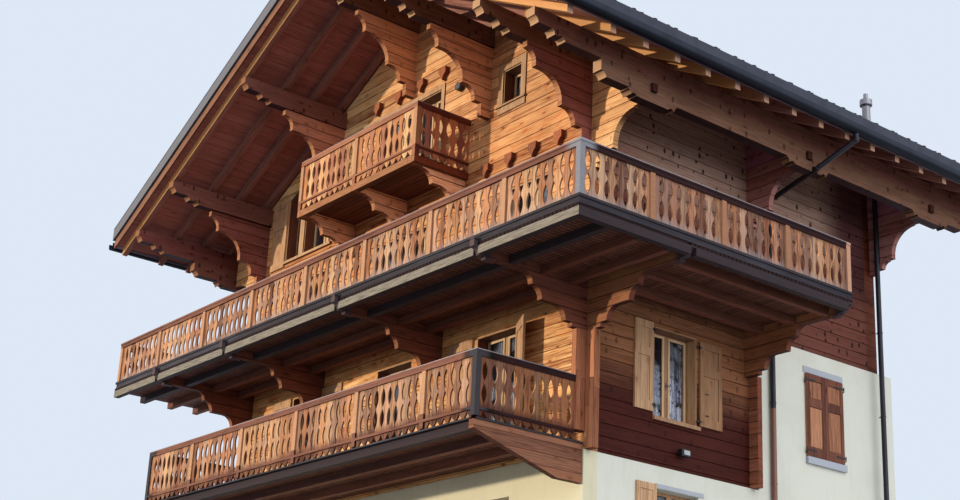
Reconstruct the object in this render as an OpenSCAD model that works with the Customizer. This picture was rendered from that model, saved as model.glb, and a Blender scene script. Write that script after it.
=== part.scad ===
// Alpine timber chalet on a masonry base, with carved log brackets and three balconies
// Millimetres, +Z up. The gable front faces -Y and the ground is at z = 0
// Heights and depths were worked out from one photograph; see record.json

/* [Building] */
// outer width of the timber walls
building_width = 11066; // [9000:1:13000]
// length of the timber walls from front to rear
timber_length = 7700; // [6000:10:9000]
// length of the masonry base from front to rear
base_length = 8080; // [6200:10:9500]
// thickness of the log walls with their lining
log_wall = 300; // [200:5:400]
// height of one log
log_height = 224.5; // [180:0.5:280]
// height of the lowest joint between the logs
first_joint = 2807.5; // [2745:0.5:2960]
// half width of the chamfered joint between two logs
joint_half = 8; // [4:1:15]
// depth of the chamfered joint
joint_depth = 9; // [4:1:15]
// thickness of the logs where they stick out
log_thick = 115; // [90:5:160]
// how far the logs stick out at the corners
log_end = 212; // [120:1:280]
// thickness of the masonry walls
base_wall = 300; // [200:10:500]
// how far the masonry stands proud of the timber
base_proud = 30; // [0:5:80]
// top of the masonry at the front
base_top = 2740; // [2200:10:3200]
// top of the masonry at the rear
rear_base_top = 5625; // [5000:5:6200]
// where the high masonry starts on the side walls
rear_base_start = 4160; // [3000:10:5500]
// thickness of the floors
floor_thick = 140; // [100:10:250]
// top of the attic floor
attic_floor_top = 8760; // [8200:10:9200]

/* [Roof] */
// rise of the roof for each unit of run
roof_slope = 0.525; // [0.4:0.005:0.8]
// underside of the rafters at the outer wall face
rafter_base = 10016; // [9500:1:10500]
// upright depth of the rafters
rafter_depth = 190; // [120:5:260]
// width of the rafters
rafter_width = 120; // [80:5:160]
// upright thickness of the roof boards
boarding_depth = 30; // [18:1:50]
// upright thickness of the roof covering
covering_depth = 370; // [100:10:420]
// run of the eaves outside the walls
eave_run = 2185; // [1500:5:2600]
// run of the rafters outside the walls
rafter_run = 2167; // [1500:1:2600]
// run of the gable overhang in front of the wall
gable_run = 2775; // [1800:1:3200]
// depth of the purlins
purlin_depth = 400; // [250:10:500]
// width of the purlins
purlin_width = 200; // [140:10:260]
// distance from the ridge to the middle purlins
middle_purlin_x = 2577; // [2000:1:3200]
// outer face of the eave purlins
eave_purlin_face = 6980; // [6300:1:7400]
// underside of the lower eave timber
eave_timber_low = 8549; // [8300:1:8800]
// radius of the gutters
gutter_radius = 100; // [50:1:120]

/* [Balconies] */
// right edge of the main balcony
main_right = 7925; // [7000:5:8500]
// left edge of the main balcony
main_left = 7505; // [6500:5:8000]
// depth of the main balcony in front of the wall
main_depth = 2360; // [1500:10:2800]
// end of the main balcony on the side wall
main_end = 3949; // [2500:1:5000]
// depth of the lower balcony
lower_depth = 2277; // [1500:1:2600]
// depth of the upper balcony
upper_depth = 1285; // [900:5:1600]
// half width of the upper balcony
upper_half = 2048; // [1500:2:2600]
// width of one sawn board of the railings
board_pitch = 195; // [150:5:240]
// thickness of the railing boards
board_thick = 28; // [18:1:40]
// height of the pointed ovals between the boards
oval_height = 330; // [200:5:400]
// width of the pointed ovals
oval_width = 118; // [60:2:140]

/* [Openings] */
// thickness of the window frames
frame_depth = 60; // [50:5:120]
// how deep the frames stand behind the face of the log walls
frame_inset = 238; // [40:2:240]
// width of the window frame members
frame_face = 60; // [40:5:90]
// width of the two sashes where they meet
meeting_face = 120; // [60:5:160]
// thickness of the boards that line the openings
lining_face = 22; // [15:1:40]
// thickness of the glass
glass_thick = 20; // [10:1:30]
// thickness of the casing boards on the gable
casing_thick = 25; // [15:1:40]
// thickness of the shutters
shutter_thick = 40; // [25:1:60]
// width of the upright members of the shutters
stile_face = 85; // [60:5:120]
// depth of the panels sunk into the shutters
panel_depth = 14; // [5:1:25]

/* [Hidden] */
$fn = 48;
half = building_width / 2;
roof_front = -gable_run;
roof_rear = timber_length + gable_run;
middle_y = (roof_front + roof_rear) / 2;
base_half = half + base_proud;
base_in = base_half - base_wall;
wall_in = half - log_wall;
plate_in = half - purlin_width;
ridge_base = rafter_base + roof_slope * half;
joints = [for (i = [0:50]) first_joint + i * log_height];
board_base = rafter_depth;
cover_base = rafter_depth + boarding_depth;
roof_top = rafter_depth + boarding_depth + covering_depth;
// the metal edge of the roof hangs over the verge boards
verge_back = roof_front + 75;
verge_low = 300;
verge_thick = 25;
fascia_x = half + rafter_run;
fascia_top = rafter_base - roof_slope * (rafter_run + verge_thick) + rafter_depth + boarding_depth;
gutter_wall = 6;
gutter_low = 8970;
// upper faces of the purlins meet the rafters at their outer edge
middle_top = rafter_base + roof_slope * (half - middle_purlin_x - purlin_width / 2);
ridge_top = ridge_base - roof_slope * purlin_width / 2;
eave_top = rafter_base - roof_slope * (eave_purlin_face - half);
plate_top = rafter_base;
plate_low = plate_top - purlin_depth;
upper_wall_base = rear_base_top;
main_floor_z = 5690;
main_beam_low = 5490;
main_beam_high = 5630;
lower_floor_z = 2880;
cheek_in = 120;
cross_y = main_end;
corner_log_top = 4760;
balcony_head = 2440;
balcony_head_side = main_right - half;
head_nose = 135;
balcony_bracket_x = [-half, -2646, 1400, half - log_thick];
rail_post = 100;
// posts of the main balcony, by their lower limits
main_post_x = [-5650, -3700, -1760, 200, 2150, 4100, 6050];
main_post_y = [-870, 735, 2270];
lower_post_x = [-3700, -1760, 200, 2150, 4100];
lower_board_low = 2860;
lower_rail_low = 3842;
lower_rail_top = 3956;
lower_ovals = [3252, 3616];
main_board_low = 5835;
main_rail_low = 6626;
main_rail_top = 6740;
main_ovals = [6064, 6430];
upper_beam_low = 8540;
upper_beam_high = 8680;
upper_board_low = 8711;
upper_rail_low = 9676;
upper_rail_top = 9790;
upper_ovals = [9075, 9435];
ledge_low = 8836;
// ends of the joists that show in the gable, by their middles and tops
joist_x = [4737, 4035, 3349, 2655];
joist_top = 8640;
ridge_joist_x = [1117, 363, -420, -1190];
ridge_joist_top = 11250;
joist_width = 210;
joist_drop = 280;
rail_lip = 45;
saddle_y = [log_thick / 2, cross_y + log_thick / 2, timber_length - log_thick / 2];
pipe_x = half + base_proud + 67;
pipe_radius = 50;
rear_pipe = [5762, 7530, 9300];
// slanting pipe: its upper end under the gutter, its bend beside the eave timber, its lower end at the wall
strut_top = [main_right - gutter_radius, 4325, 8860];
strut_bend = [7080, 4160, 8492];
// top of the log panels beside the eave timbers, over the underside of the timbers
panel_top = rafter_base - eave_timber_low - 6;
strut_foot = [pipe_x, 4500, 8371];
// openings in the front walls: x from, x to, z from, z to
base_front_openings = [[-4300, -3100, 900, 2200], [-700, 400, 120, 2250], [2500, 3700, 900, 2200]];
middle_front_openings = [[-3720, -2574, 2880, 5250], [-600, 568, 2880, 5250], [2574, 3720, 2880, 5250]];
upper_front_openings = [[-3950, -2700, 5700, 7950], [-1000, 1000, 5700, 7950], [3100, 4500, 5700, 7950]];
attic_front_openings = [[-1035, 1035, 8760, 10820], [3020, 3550, 9755, 10480], [-3850, -2760, 8560, 9850]];
tall_left = -4600;
tall_right = -4030;
tall_low = 8560;
// openings in the side walls: y from, y to, z from, z to
base_side_openings = [[1620, 2620, 1100, 2360]];
middle_side_openings = [[1547, 2605, 3600, 5200]];
rear_side_openings = [[5490, 6495, 3640, 5160]];
middle_side_shutters = [[1080, 1515, 3665, 5250], [2665, 3215, 3625, 5160]];
base_side_shutters = [[1130, 1590, 1000, 2420], [5460, 5990, 3600, 5185], [5994, 6525, 3600, 5185]];
front_shutters = [[1770, 2480, 3060, 5258], [-4470, -3760, 3060, 5258], [-2534, -1824, 3060, 5258],
                  [-5190, -4610, 8450, 10060]];
// the open door shutter that stands off the wall: hinge, width and angle to the wall
door_hinge_x = 3730;
door_leaf = 640;
door_angle = 28;
// openings in the rear walls: x from, x to, z from, z to
base_rear_openings = [[-3600, -2600, 3640, 5040], [2600, 3600, 3640, 5040]];
upper_rear_openings = [[-3600, -2600, 6500, 7900], [-500, 500, 6500, 7900], [2600, 3600, 6500, 7900]];
attic_rear_openings = [[-450, 450, 9300, 10400]];

// moves a piece from the building's own axes to the middle of the part
module place() {
  translate([0, -middle_y, 0])
    children();
}

// box given by its limits
module block(x0, x1, y0, y1, z0, z1) {
  translate([x0, y0, z0])
    cube([x1 - x0, y1 - y0, z1 - z0]);
}

// the same piece on the left and on the right
module both() {
  children();
  mirror([1, 0, 0])
    children();
}

// flat drawing in X and Z, pushed from y0 to y1
module panel_xz(y0, y1) {
  translate([0, y1, 0])
    rotate([90, 0, 0])
      linear_extrude(y1 - y0)
        children();
}

// flat drawing in Y and Z, pushed from x0 to x1
module panel_yz(x0, x1) {
  translate([x0, 0, 0])
    rotate([90, 0, 90])
      linear_extrude(x1 - x0)
        children();
}

// flat rectangle given by its limits
module field(a0, a1, b0, b1) {
  translate([a0, b0])
    square([a1 - a0, b1 - b0]);
}

// flat openings from a list
module holes(list) {
  for (h = list)
    field(h[0], h[1], h[2], h[3]);
}

// upright section of a log wall with its outer face on the line of 0
module wall_section(z_low, z_high) {
  notches = [for (z = joints) if (z > z_low + 30 && z < z_high - 30)
               for (p = [[0, -joint_half], [joint_depth, 0], [0, joint_half]]) [p[0], z + p[1]]];
  polygon(concat([[0, z_low]], notches, [[0, z_high], [log_wall, z_high], [log_wall, z_low]]));
}

// section of the logs that stick out, with the joints on both faces
module log_section(z_low, z_high) {
  w = log_thick / 2;
  near = [for (z = joints) if (z > z_low + 30 && z < z_high - 30)
            for (p = [[-w, -joint_half], [joint_depth - w, 0], [-w, joint_half]]) [p[0], z + p[1]]];
  turns = len(near) - 1;
  far = [for (i = [0:turns]) [-near[turns - i][0], near[turns - i][1]]];
  polygon(concat([[-w, z_low]], near, [[-w, z_high], [w, z_high]], far, [[w, z_low]]));
}

// logs that stick out towards -Y, cut to a drawing of run and height
module carved_logs(run, z_low, z_high) {
  intersection() {
    translate([log_thick / 2, 0, 0])
      rotate([90, 0, -90])
        linear_extrude(log_thick)
          children();
    panel_xz(-run, 0)
      log_section(z_low, z_high);
  }
}

// the same logs out of a side wall towards +X, by the side nearer to the front
module carved_logs_side(y, run, z_low, z_high) {
  translate([half, y + log_thick / 2, 0])
    rotate([0, 0, 90])
      carved_logs(run, z_low, z_high)
        children();
}

// wall of the whole gable up to the rafters
module gable_outline(x_out, z_low) {
  polygon([[-x_out, z_low], [x_out, z_low], [x_out, plate_low], [x_out, rafter_base],
           [0, ridge_base], [-x_out, rafter_base]]);
}

// front ground storey in masonry
module base_walls_front() {
  color([0.9, 0.88, 0.8])
    place()
      panel_xz(-base_proud, base_wall - base_proud)
        difference() {
          field(-base_half, base_half, 0, base_top);
          holes(base_front_openings);
        }
}

// side walls in masonry, a storey higher at the rear
module base_walls_sides() {
  color([0.9, 0.88, 0.8])
    place()
      both()
        panel_yz(base_in, base_half)
          difference() {
            polygon([[base_wall - base_proud, 0], [base_length - base_wall, 0],
                     [base_length - base_wall, rear_base_top], [rear_base_start, rear_base_top],
                     [rear_base_start, base_top], [base_wall - base_proud, base_top]]);
            holes(base_side_openings);
            holes(rear_side_openings);
          }
}

// rear wall in masonry, two storeys high
module base_wall_rear() {
  color([0.9, 0.88, 0.8])
    place()
      panel_xz(base_length - base_wall, base_length)
        difference() {
          field(-base_half, base_half, 0, rear_base_top);
          holes(base_rear_openings);
        }
}

// floors of the four storeys
module storey_floors() {
  color([0.7, 0.5, 0.32])
    place() {
      for (z = [[0, floor_thick - 20], [base_top - floor_thick, base_top]])
        block(-base_in, base_in, base_wall - base_proud, base_length - base_wall, z[0], z[1]);
      translate([0, 0, rear_base_top - floor_thick])
        linear_extrude(floor_thick)
          union() {
            field(-wall_in, wall_in, log_wall, rear_base_start);
            field(-base_in, base_in, rear_base_start, base_length - base_wall);
          }
      block(-wall_in, wall_in, log_wall, timber_length - log_wall,
            attic_floor_top - floor_thick, attic_floor_top);
    }
}

// log wall behind the lower balcony
module middle_wall_front() {
  color([0.75, 0.5, 0.28])
    place()
      intersection() {
        panel_xz(0, log_wall)
          difference() {
            field(-half, half, base_top, rear_base_top);
            holes(middle_front_openings);
          }
        panel_yz(-half, half)
          wall_section(base_top, rear_base_top);
      }
}

// log side walls of the middle storey
module middle_walls_sides() {
  color([0.55, 0.34, 0.2])
    place()
      both()
        intersection() {
          panel_yz(wall_in, half)
            difference() {
              field(log_wall, rear_base_start, base_top, rear_base_top);
              holes(middle_side_openings);
            }
          side_logs(log_wall, rear_base_start, base_top, rear_base_top);
        }
}

// plain length of the log side wall on the right
module side_logs(y0, y1, z_low, z_high) {
  translate([half, 0, 0])
    mirror([1, 0, 0])
      panel_xz(y0, y1)
        wall_section(z_low, z_high);
}

// height of the line under the roof that the tall window and its post follow
function slope_line(x) = ridge_base - roof_slope * abs(x) - 450;

// window on the left of the gable with a slanting top
module tall_window(inset) {
  polygon([[tall_left + inset, tall_low + inset], [tall_right - inset, tall_low + inset],
           [tall_right - inset, slope_line(tall_right) - inset],
           [tall_left + inset, slope_line(tall_left) - inset]]);
}

// gable wall over the main balcony, up to the ridge
module gable_wall_front() {
  color([0.82, 0.58, 0.33])
    place()
      intersection() {
        panel_xz(0, log_wall)
          difference() {
            gable_outline(half, upper_wall_base);
            holes(upper_front_openings);
            holes(attic_front_openings);
            tall_window(0);
            purlin_ends();
          }
        panel_yz(-half, half)
          wall_section(upper_wall_base, ridge_base);
      }
}

// places where the purlins pass through the gables
module purlin_ends() {
  both() {
    field(plate_in, half, plate_low, rafter_base);
    field(middle_purlin_x - purlin_width / 2, middle_purlin_x + purlin_width / 2,
          middle_top - purlin_depth, middle_top);
  }
  field(-purlin_width / 2, purlin_width / 2, ridge_top - purlin_depth, ridge_top);
}

// log side walls under the roof
module upper_walls_sides() {
  color([0.6, 0.4, 0.25])
    place()
      both()
        side_logs(log_wall, timber_length - log_wall, upper_wall_base, plate_low);
}

// gable wall at the rear
module gable_wall_rear() {
  color([0.6, 0.4, 0.25])
    place()
      intersection() {
        panel_xz(timber_length - log_wall, timber_length)
          difference() {
            gable_outline(half, upper_wall_base);
            holes(upper_rear_openings);
            holes(attic_rear_openings);
            purlin_ends();
          }
        translate([0, timber_length, 0])
          mirror([0, 1, 0])
            panel_yz(-half, half)
              wall_section(upper_wall_base, ridge_base);
      }
}

// boxed log ends at the front corners, and bare ones at the end of the side balcony
module corner_log_ends() {
  color([0.7, 0.45, 0.26])
    place()
      both() {
        block(half, half + log_end, 0, log_thick, base_top, corner_log_top);
        block(half - log_thick, half, -log_end, 0, lower_floor_z + 150, corner_log_top);
        translate([0, cross_y + log_thick / 2, 0])
          panel_yz(half, half + log_end)
            log_section(base_top, corner_log_top);
      }
}

// carved bracket drawing: run outwards, drop downwards
module bracket_profile() {
  difference() {
    polygon([[0, 0], [1520, 0], [1520, -340], [1310, -340], [1310, -415], [1170, -415], [1170, -880],
             [705, -880], [705, -950], [620, -950], [620, -1180], [390, -1180], [390, -1225],
             [230, -1225], [230, -1490], [0, -1490]]);
    translate([1530, -340])
      circle(220);
    translate([1170, -880])
      circle(465);
    translate([620, -1180])
      circle(230);
  }
}

// brackets under the purlins of the front gable
module bracket_row() {
  for (p = [[log_thick / 2 - half, plate_low], [-middle_purlin_x, middle_top - purlin_depth],
            [0, ridge_top - purlin_depth], [middle_purlin_x, middle_top - purlin_depth],
            [half - log_thick / 2, plate_low]])
    translate([p[0], 0, 0])
      carved_logs(1520, p[1] - 1490, p[1])
        translate([0, p[1]])
          bracket_profile();
}

module gable_brackets() {
  color([0.62, 0.38, 0.22])
    place() {
      bracket_row();
      translate([0, timber_length, 0])
        mirror([0, 1, 0])
          bracket_row();
    }
}

// carved bracket beside the eave timber, with its log panel under the rafters
module side_profile() {
  difference() {
    polygon([[0, panel_top], [1247, panel_top - roof_slope * 1247], [1247, -40], [1050, -40],
             [1050, -560], [550, -560], [550, -640], [440, -640], [440, -800], [160, -800],
             [160, -880], [0, -880]]);
    translate([1050, -560])
      circle(500);
    translate([440, -800])
      circle(140);
  }
}

module side_brackets() {
  color([0.62, 0.4, 0.24])
    place()
      both()
        for (y = [0, cross_y, timber_length - log_thick])
          carved_logs_side(y, 1247, eave_timber_low - 880, eave_timber_low + panel_top)
            translate([0, eave_timber_low])
              side_profile();
}

// purlins with their carved noses
module purlin_side() {
  difference() {
    field(-2570, timber_length + 2570, 0, purlin_depth);
    for (s = [0, 1])
      translate([s * timber_length, 0])
        mirror([s, 0])
          purlin_cuts();
  }
}

// steps and scallops cut under a purlin's nose
module purlin_cuts() {
  translate([-2700, -10])
    square([480, 150]);
  translate([-2220, -10])
    square([180, 60]);
  translate([-2220, 50])
    circle(90);
  translate([-2590, 140])
    circle(110);
  translate([-1990, -10])
    circle(80);
}

module roof_purlins() {
  color([0.66, 0.42, 0.25])
    place() {
      both() {
        translate([0, 0, plate_low])
          panel_yz(plate_in, half)
            purlin_side();
        translate([0, 0, middle_top - purlin_depth])
          panel_yz(middle_purlin_x - purlin_width / 2, middle_purlin_x + purlin_width / 2)
            purlin_side();
        translate([0, 0, eave_top - purlin_depth])
          panel_yz(eave_purlin_face - purlin_width, eave_purlin_face)
            purlin_side();
      }
      translate([0, 0, ridge_top - purlin_depth])
        panel_yz(-purlin_width / 2, purlin_width / 2)
          purlin_side();
    }
}

// lower timbers under the eave purlins, with saddles at the brackets
module eave_timber_side() {
  difference() {
    union() {
      field(-1120, timber_length + 1120, eave_timber_low, eave_top - purlin_depth);
      for (y = saddle_y)
        field(y - 560, y + 560, eave_timber_low - 110, eave_timber_low);
    }
    for (y = saddle_y)
      for (s = [-1, 1]) {
        translate([y + s * 600, eave_timber_low - 120])
          circle(100);
        translate([y + s * 430, eave_timber_low - 140])
          circle(70);
      }
    for (y = [-1120, timber_length + 1120])
      translate([y, eave_timber_low - 20])
        circle(120);
  }
}

// eave timbers, notched for the slanting pipes, with the tenons of the brackets
module eave_timbers() {
  color([0.62, 0.42, 0.26])
    place()
      both() {
        difference() {
          panel_yz(eave_purlin_face - purlin_width, eave_purlin_face)
            eave_timber_side();
          strut_notch();
        }
        for (y = saddle_y)
          block(eave_purlin_face, eave_purlin_face + 60, y - log_thick / 2, y + log_thick / 2,
                eave_timber_low + 80, eave_timber_low + 230);
      }
}

// drawing of one side of the roof between two heights over the rafter line
module roof_strip(x_end, low, high) {
  polygon([[0, ridge_base + low], [x_end, rafter_base - roof_slope * (x_end - half) + low],
           [x_end, rafter_base - roof_slope * (x_end - half) + high], [0, ridge_base + high]]);
}

// rafters of one slope with square tails, and the outer one at each gable
module rafter_row() {
  for (y = concat([roof_front + 267, roof_rear - 267 - rafter_width], [for (i = [0:14]) -1592 + i * 721]))
    panel_xz(y, y + rafter_width)
      roof_strip(fascia_x, 0, rafter_depth);
}

module rafters_right() {
  color([0.68, 0.46, 0.28])
    place()
      rafter_row();
}

module rafters_left() {
  color([0.68, 0.46, 0.28])
    place()
      mirror([1, 0, 0])
        rafter_row();
}

// boards on the rafters of one slope
module boarding() {
  panel_xz(verge_back, roof_rear - 75)
    roof_strip(fascia_x, board_base, cover_base);
}

module roof_boarding_right() {
  color([0.42, 0.24, 0.16])
    place()
      boarding();
}

module roof_boarding_left() {
  color([0.42, 0.24, 0.16])
    place()
      mirror([1, 0, 0])
        boarding();
}

// roof covering of one slope, thinner where its edge laps over the verge boards
module covering() {
  difference() {
    panel_xz(roof_front, roof_rear)
      roof_strip(half + eave_run, cover_base, roof_top);
    for (y = [roof_front - 1, roof_rear - 75])
      panel_xz(y, y + 76)
        roof_strip(half + eave_run + 1, cover_base - 1, verge_low);
  }
}

module roof_covering_right() {
  color([0.2, 0.21, 0.23])
    place()
      covering();
}

module roof_covering_left() {
  color([0.2, 0.21, 0.23])
    place()
      mirror([1, 0, 0])
        covering();
}

// boards under the edge of the roof at the gables, and along the eaves behind the gutters
module verge_boards() {
  color([0.72, 0.47, 0.27])
    place()
      both() {
        for (y = [verge_back - verge_thick, roof_rear - 75])
          panel_xz(y, y + verge_thick)
            difference() {
              roof_strip(fascia_x, 95, verge_low);
              field(-1, 1, ridge_base, ridge_base + 400);
            }
        block(fascia_x, fascia_x + verge_thick, verge_back, roof_rear - 75, gutter_low + 45, fascia_top);
      }
}

// half round gutters along the eaves, with a straight front lip
module gutters() {
  color([0.16, 0.17, 0.19])
    place()
      both()
        translate([main_right - gutter_radius, 0, gutter_low + gutter_radius])
          panel_xz(roof_front + 20, roof_rear - 20)
            difference() {
              union() {
                circle(gutter_radius);
                field(-gutter_radius, gutter_radius, 0, 60);
              }
              circle(gutter_radius - gutter_wall);
              field(gutter_wall - gutter_radius, gutter_radius - gutter_wall, 0, 200);
            }
}

// length of the slanting pipe between two points
module strut(from, to, radius) {
  d = to - from;
  translate(from)
    rotate([0, acos(d[2] / norm(d)), atan2(d[1], d[0])])
      cylinder(r = radius, h = norm(d));
}

// notch for the slanting pipe, open towards the ground
module strut_notch() {
  d = strut_bend - strut_foot;
  wide = pipe_radius + 20;
  strut(strut_foot, strut_bend, wide);
  translate(strut_foot)
    rotate([0, 0, atan2(d[1], d[0])])
      panel_xz(-wide, wide)
        polygon([[0, 0], [norm([d[0], d[1]]), d[2]], [norm([d[0], d[1]]), -900], [0, -900]]);
}

// downpipes with round sleeves at the bends
module downpipes() {
  color([0.2, 0.2, 0.22])
    place()
      both() {
        union() {
          translate([strut_foot[0], strut_foot[1], 0])
            cylinder(r = pipe_radius, h = strut_foot[2]);
          translate(strut_foot)
            sphere(pipe_radius + 7);
          strut(strut_foot, strut_bend, pipe_radius);
          strut(strut_bend, strut_top, pipe_radius);
          for (bend = [strut_bend, strut_top])
            translate(bend)
              sphere(pipe_radius + 7);
          translate(strut_top)
            cylinder(r = pipe_radius, h = gutter_low - strut_top[2]);
        }
        translate([rear_pipe[0], rear_pipe[1], 0])
          cylinder(r = pipe_radius, h = rear_pipe[2]);
      }
}

// flue with a collar and a narrow top pipe, on the slope of the roof
module flue() {
  color([0.5, 0.5, 0.52])
    place()
      difference() {
        translate([4500, 9041, 0])
          rotate_extrude()
            polygon([[0, 11000], [90, 11000], [90, 12255], [62, 12255], [62, 12292], [137, 12292],
                     [137, 12420], [52, 12420], [52, 12573], [0, 12573]]);
        panel_xz(8800, 9300)
          roof_strip(half, cover_base, roof_top);
      }
}

// carved bracket under the main balcony: run of its head, height of the nose on it
module balcony_profile(head, nose) {
  difference() {
    polygon([[0, corner_log_top], [330, corner_log_top], [330, 4835], [700, 4835], [700, 5065],
             [1000, 5065], [1000, 5090], [1200, 5090], [1200, 5300], [1380, 5300], [1380, 5470],
             [1930, 5470], [1930, 5440], [head - 240, 5440], [head - 240, main_beam_low],
             [head, main_beam_low], [head, main_beam_high + nose], [head - 78, main_beam_high + nose],
             [head - 78, main_beam_high], [0, main_beam_high]]);
    translate([head, main_beam_low])
      circle(125);
    translate([1930, 5440])
      circle(45);
    translate([700, 4835])
      circle(230);
    translate([1200, 5090])
      circle(200);
    translate([1380, 5300])
      circle(170);
  }
}

module main_balcony_brackets() {
  color([0.5, 0.3, 0.2])
    place() {
      for (x = balcony_bracket_x)
        translate([x + log_thick / 2, 0, 0])
          carved_logs(balcony_head, corner_log_top, main_beam_high + head_nose)
            balcony_profile(balcony_head, head_nose);
      for (y = [0, cross_y - log_thick])
        carved_logs_side(y, balcony_head_side, corner_log_top, main_beam_high)
          balcony_profile(balcony_head_side, 0);
    }
}

// beams under the main balcony, let in between the bracket heads
module main_balcony_beams() {
  color([0.38, 0.33, 0.3])
    place()
      difference() {
        union() {
          for (y = [-main_depth, -1720, -1040, -400])
            block(-main_left, main_right - 120, y, y + 120, main_beam_low, main_beam_high);
          block(main_right - 120, main_right, -main_depth, main_end, main_beam_low, main_beam_high);
          for (x = [5900, 6650, 7370])
            block(x, x + 120, log_thick, main_end, main_beam_low, main_beam_high);
        }
        for (x = balcony_bracket_x)
          block(x, x + log_thick, -balcony_head, 0, main_beam_low - 90, main_beam_high + 70);
        for (y = [0, cross_y - log_thick])
          block(half, half + balcony_head, y, y + log_thick, main_beam_low - 90, main_beam_high + 70);
      }
}

// boards of the main balcony
module main_balcony_deck() {
  color([0.45, 0.33, 0.26])
    place()
      translate([0, 0, main_beam_high])
        linear_extrude(60)
          union() {
            field(-main_left, main_right, -main_depth, 0);
            field(half, main_right, 0, main_end);
          }
}

// dark edge and ledge under the railing
module main_balcony_edge() {
  color([0.35, 0.33, 0.32])
    place() {
      translate([0, 0, main_floor_z])
        linear_extrude(100)
          rail_path(60, 20);
      translate([0, 0, main_floor_z + 100])
        linear_extrude(45)
          rail_path(140, 0);
    }
}

// flat outline that follows the edge of the main balcony
module rail_path(width, inset) {
  field(-main_left + inset, main_right - inset, -main_depth + inset, -main_depth + inset + width);
  field(main_right - inset - width, main_right - inset, -main_depth + inset, main_end);
  field(-main_left + inset, -main_left + inset + width, -main_depth + inset, 0);
}

// posts of the main balcony seen from above
module rail_posts() {
  for (x = concat([-main_left + 20], main_post_x, [main_right - 20 - rail_post]))
    field(x, x + rail_post, -main_depth + 20, -main_depth + 20 + rail_post);
  for (y = concat(main_post_y, [main_end - rail_post]))
    field(main_right - 20 - rail_post, main_right - 20, y, y + rail_post);
}

// posts and top rail of the main balcony
module main_balcony_railing() {
  color([0.5, 0.38, 0.32])
    place() {
      translate([0, 0, main_board_low])
        linear_extrude(main_rail_top - rail_lip - main_board_low)
          rail_posts();
      translate([0, 0, main_rail_low])
        linear_extrude(main_rail_top - rail_lip - main_rail_low)
          rail_path(35, 20);
      translate([0, 0, main_rail_top - rail_lip])
        linear_extrude(rail_lip)
          rail_path(130, 10);
    }
}

// pointed oval between two neighbouring boards
module pointed_oval() {
  r = (oval_height * oval_height + oval_width * oval_width) / (4 * oval_width);
  intersection() {
    translate([r - oval_width / 2, 0])
      circle(r);
    translate([oval_width / 2 - r, 0])
      circle(r);
  }
}

// sawn boards of one bay: limits, height of the ends, top, heights of the ovals, pointed ends or not
module board_bay(a0, a1, z_low, z_high, ovals, tails) {
  count = floor((a1 - a0 - 200) / board_pitch) + 1;
  first = (a0 + a1 - (count - 1) * board_pitch) / 2;
  difference() {
    field(a0, a1, z_low, z_high);
    for (i = [0:count - 1])
      translate([first + i * board_pitch, 0]) {
        for (z = ovals)
          translate([0, z])
            pointed_oval();
        if (tails) {
          polygon([[10 - board_pitch / 2, z_low - 1], [0, z_low + 95], [board_pitch / 2 - 10, z_low - 1]]);
          translate([0, z_low + 70])
            circle(26);
        }
      }
  }
}

module main_bay(a0, a1) {
  board_bay(a0, a1, main_board_low, main_rail_top - rail_lip, main_ovals, false);
}

// sawn boards of the main balcony, one panel from post to post
module main_balcony_boards() {
  x = concat([-main_left + 20], main_post_x, [main_right - 20 - rail_post]);
  y = concat([-main_depth + 20], main_post_y, [main_end - rail_post]);
  color([0.75, 0.52, 0.34])
    place() {
      for (i = [0:len(x) - 2])
        panel_xz(-main_depth + 55, -main_depth + 55 + board_thick)
          main_bay(x[i] + rail_post, x[i + 1]);
      for (i = [0:len(y) - 2])
        panel_yz(main_right - 55 - board_thick, main_right - 55)
          main_bay(y[i] + rail_post, y[i + 1]);
      panel_yz(-main_left + 55, -main_left + 55 + board_thick)
        main_bay(-main_depth + 20 + rail_post, 0);
    }
}

// beams under the lower balcony
module lower_balcony_beams() {
  color([0.42, 0.34, 0.28])
    place()
      for (y = [-lower_depth + 60, -1500, -760])
        block(cheek_in - half, half - cheek_in, y, y + 120, lower_floor_z - 200, lower_floor_z - 60);
}

module lower_balcony_deck() {
  color([0.45, 0.33, 0.26])
    place()
      block(-half + 30 + board_thick, half - 30 - board_thick, -lower_depth + 30 + board_thick, -base_proud,
            lower_floor_z - 60, lower_floor_z);
}

// board cheeks that carry the lower balcony
module lower_balcony_cheeks() {
  color([0.55, 0.36, 0.22])
    place()
      both()
        panel_yz(half - cheek_in, half)
          polygon([[-lower_depth, lower_floor_z - 60], [-base_proud, lower_floor_z - 60],
                   [-base_proud, 2180], [-560, 2180], [-lower_depth, lower_floor_z - 200]]);
}

// frame of a railing in front and at both sides: half width, depth, ends of the sides, heights
module rail_frame(w, d, back, post_list, post_low, ledge, low, top) {
  translate([0, 0, post_low])
    linear_extrude(top - rail_lip - post_low) {
      for (x = concat([-w], post_list, [w - rail_post]))
        field(x, x + rail_post, -d, -d + rail_post);
    }
  for (z = [[ledge, ledge + 45], [low, top - rail_lip]])
    translate([0, 0, z[0]])
      linear_extrude(z[1] - z[0]) {
        field(-w, w, -d, -d + 30);
        both()
          field(w - 30, w, -d + 30, back);
      }
  translate([0, 0, top - rail_lip])
    linear_extrude(rail_lip) {
      field(-w, w, -d, -d + 120);
      both()
        field(w - 120, w, -d + 120, back);
    }
}

// sawn boards in front and at both sides of a small balcony
module frame_bays(w, d, back, post_list, z_low, z_high, ovals) {
  x = concat([-w], post_list, [w - rail_post]);
  for (i = [0:len(x) - 2])
    panel_xz(-d + 30, -d + 30 + board_thick)
      board_bay(x[i] + rail_post, x[i + 1], z_low, z_high, ovals, true);
  both()
    panel_yz(w - 30 - board_thick, w - 30)
      board_bay(-d + rail_post, back, z_low, z_high, ovals, true);
}

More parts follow.
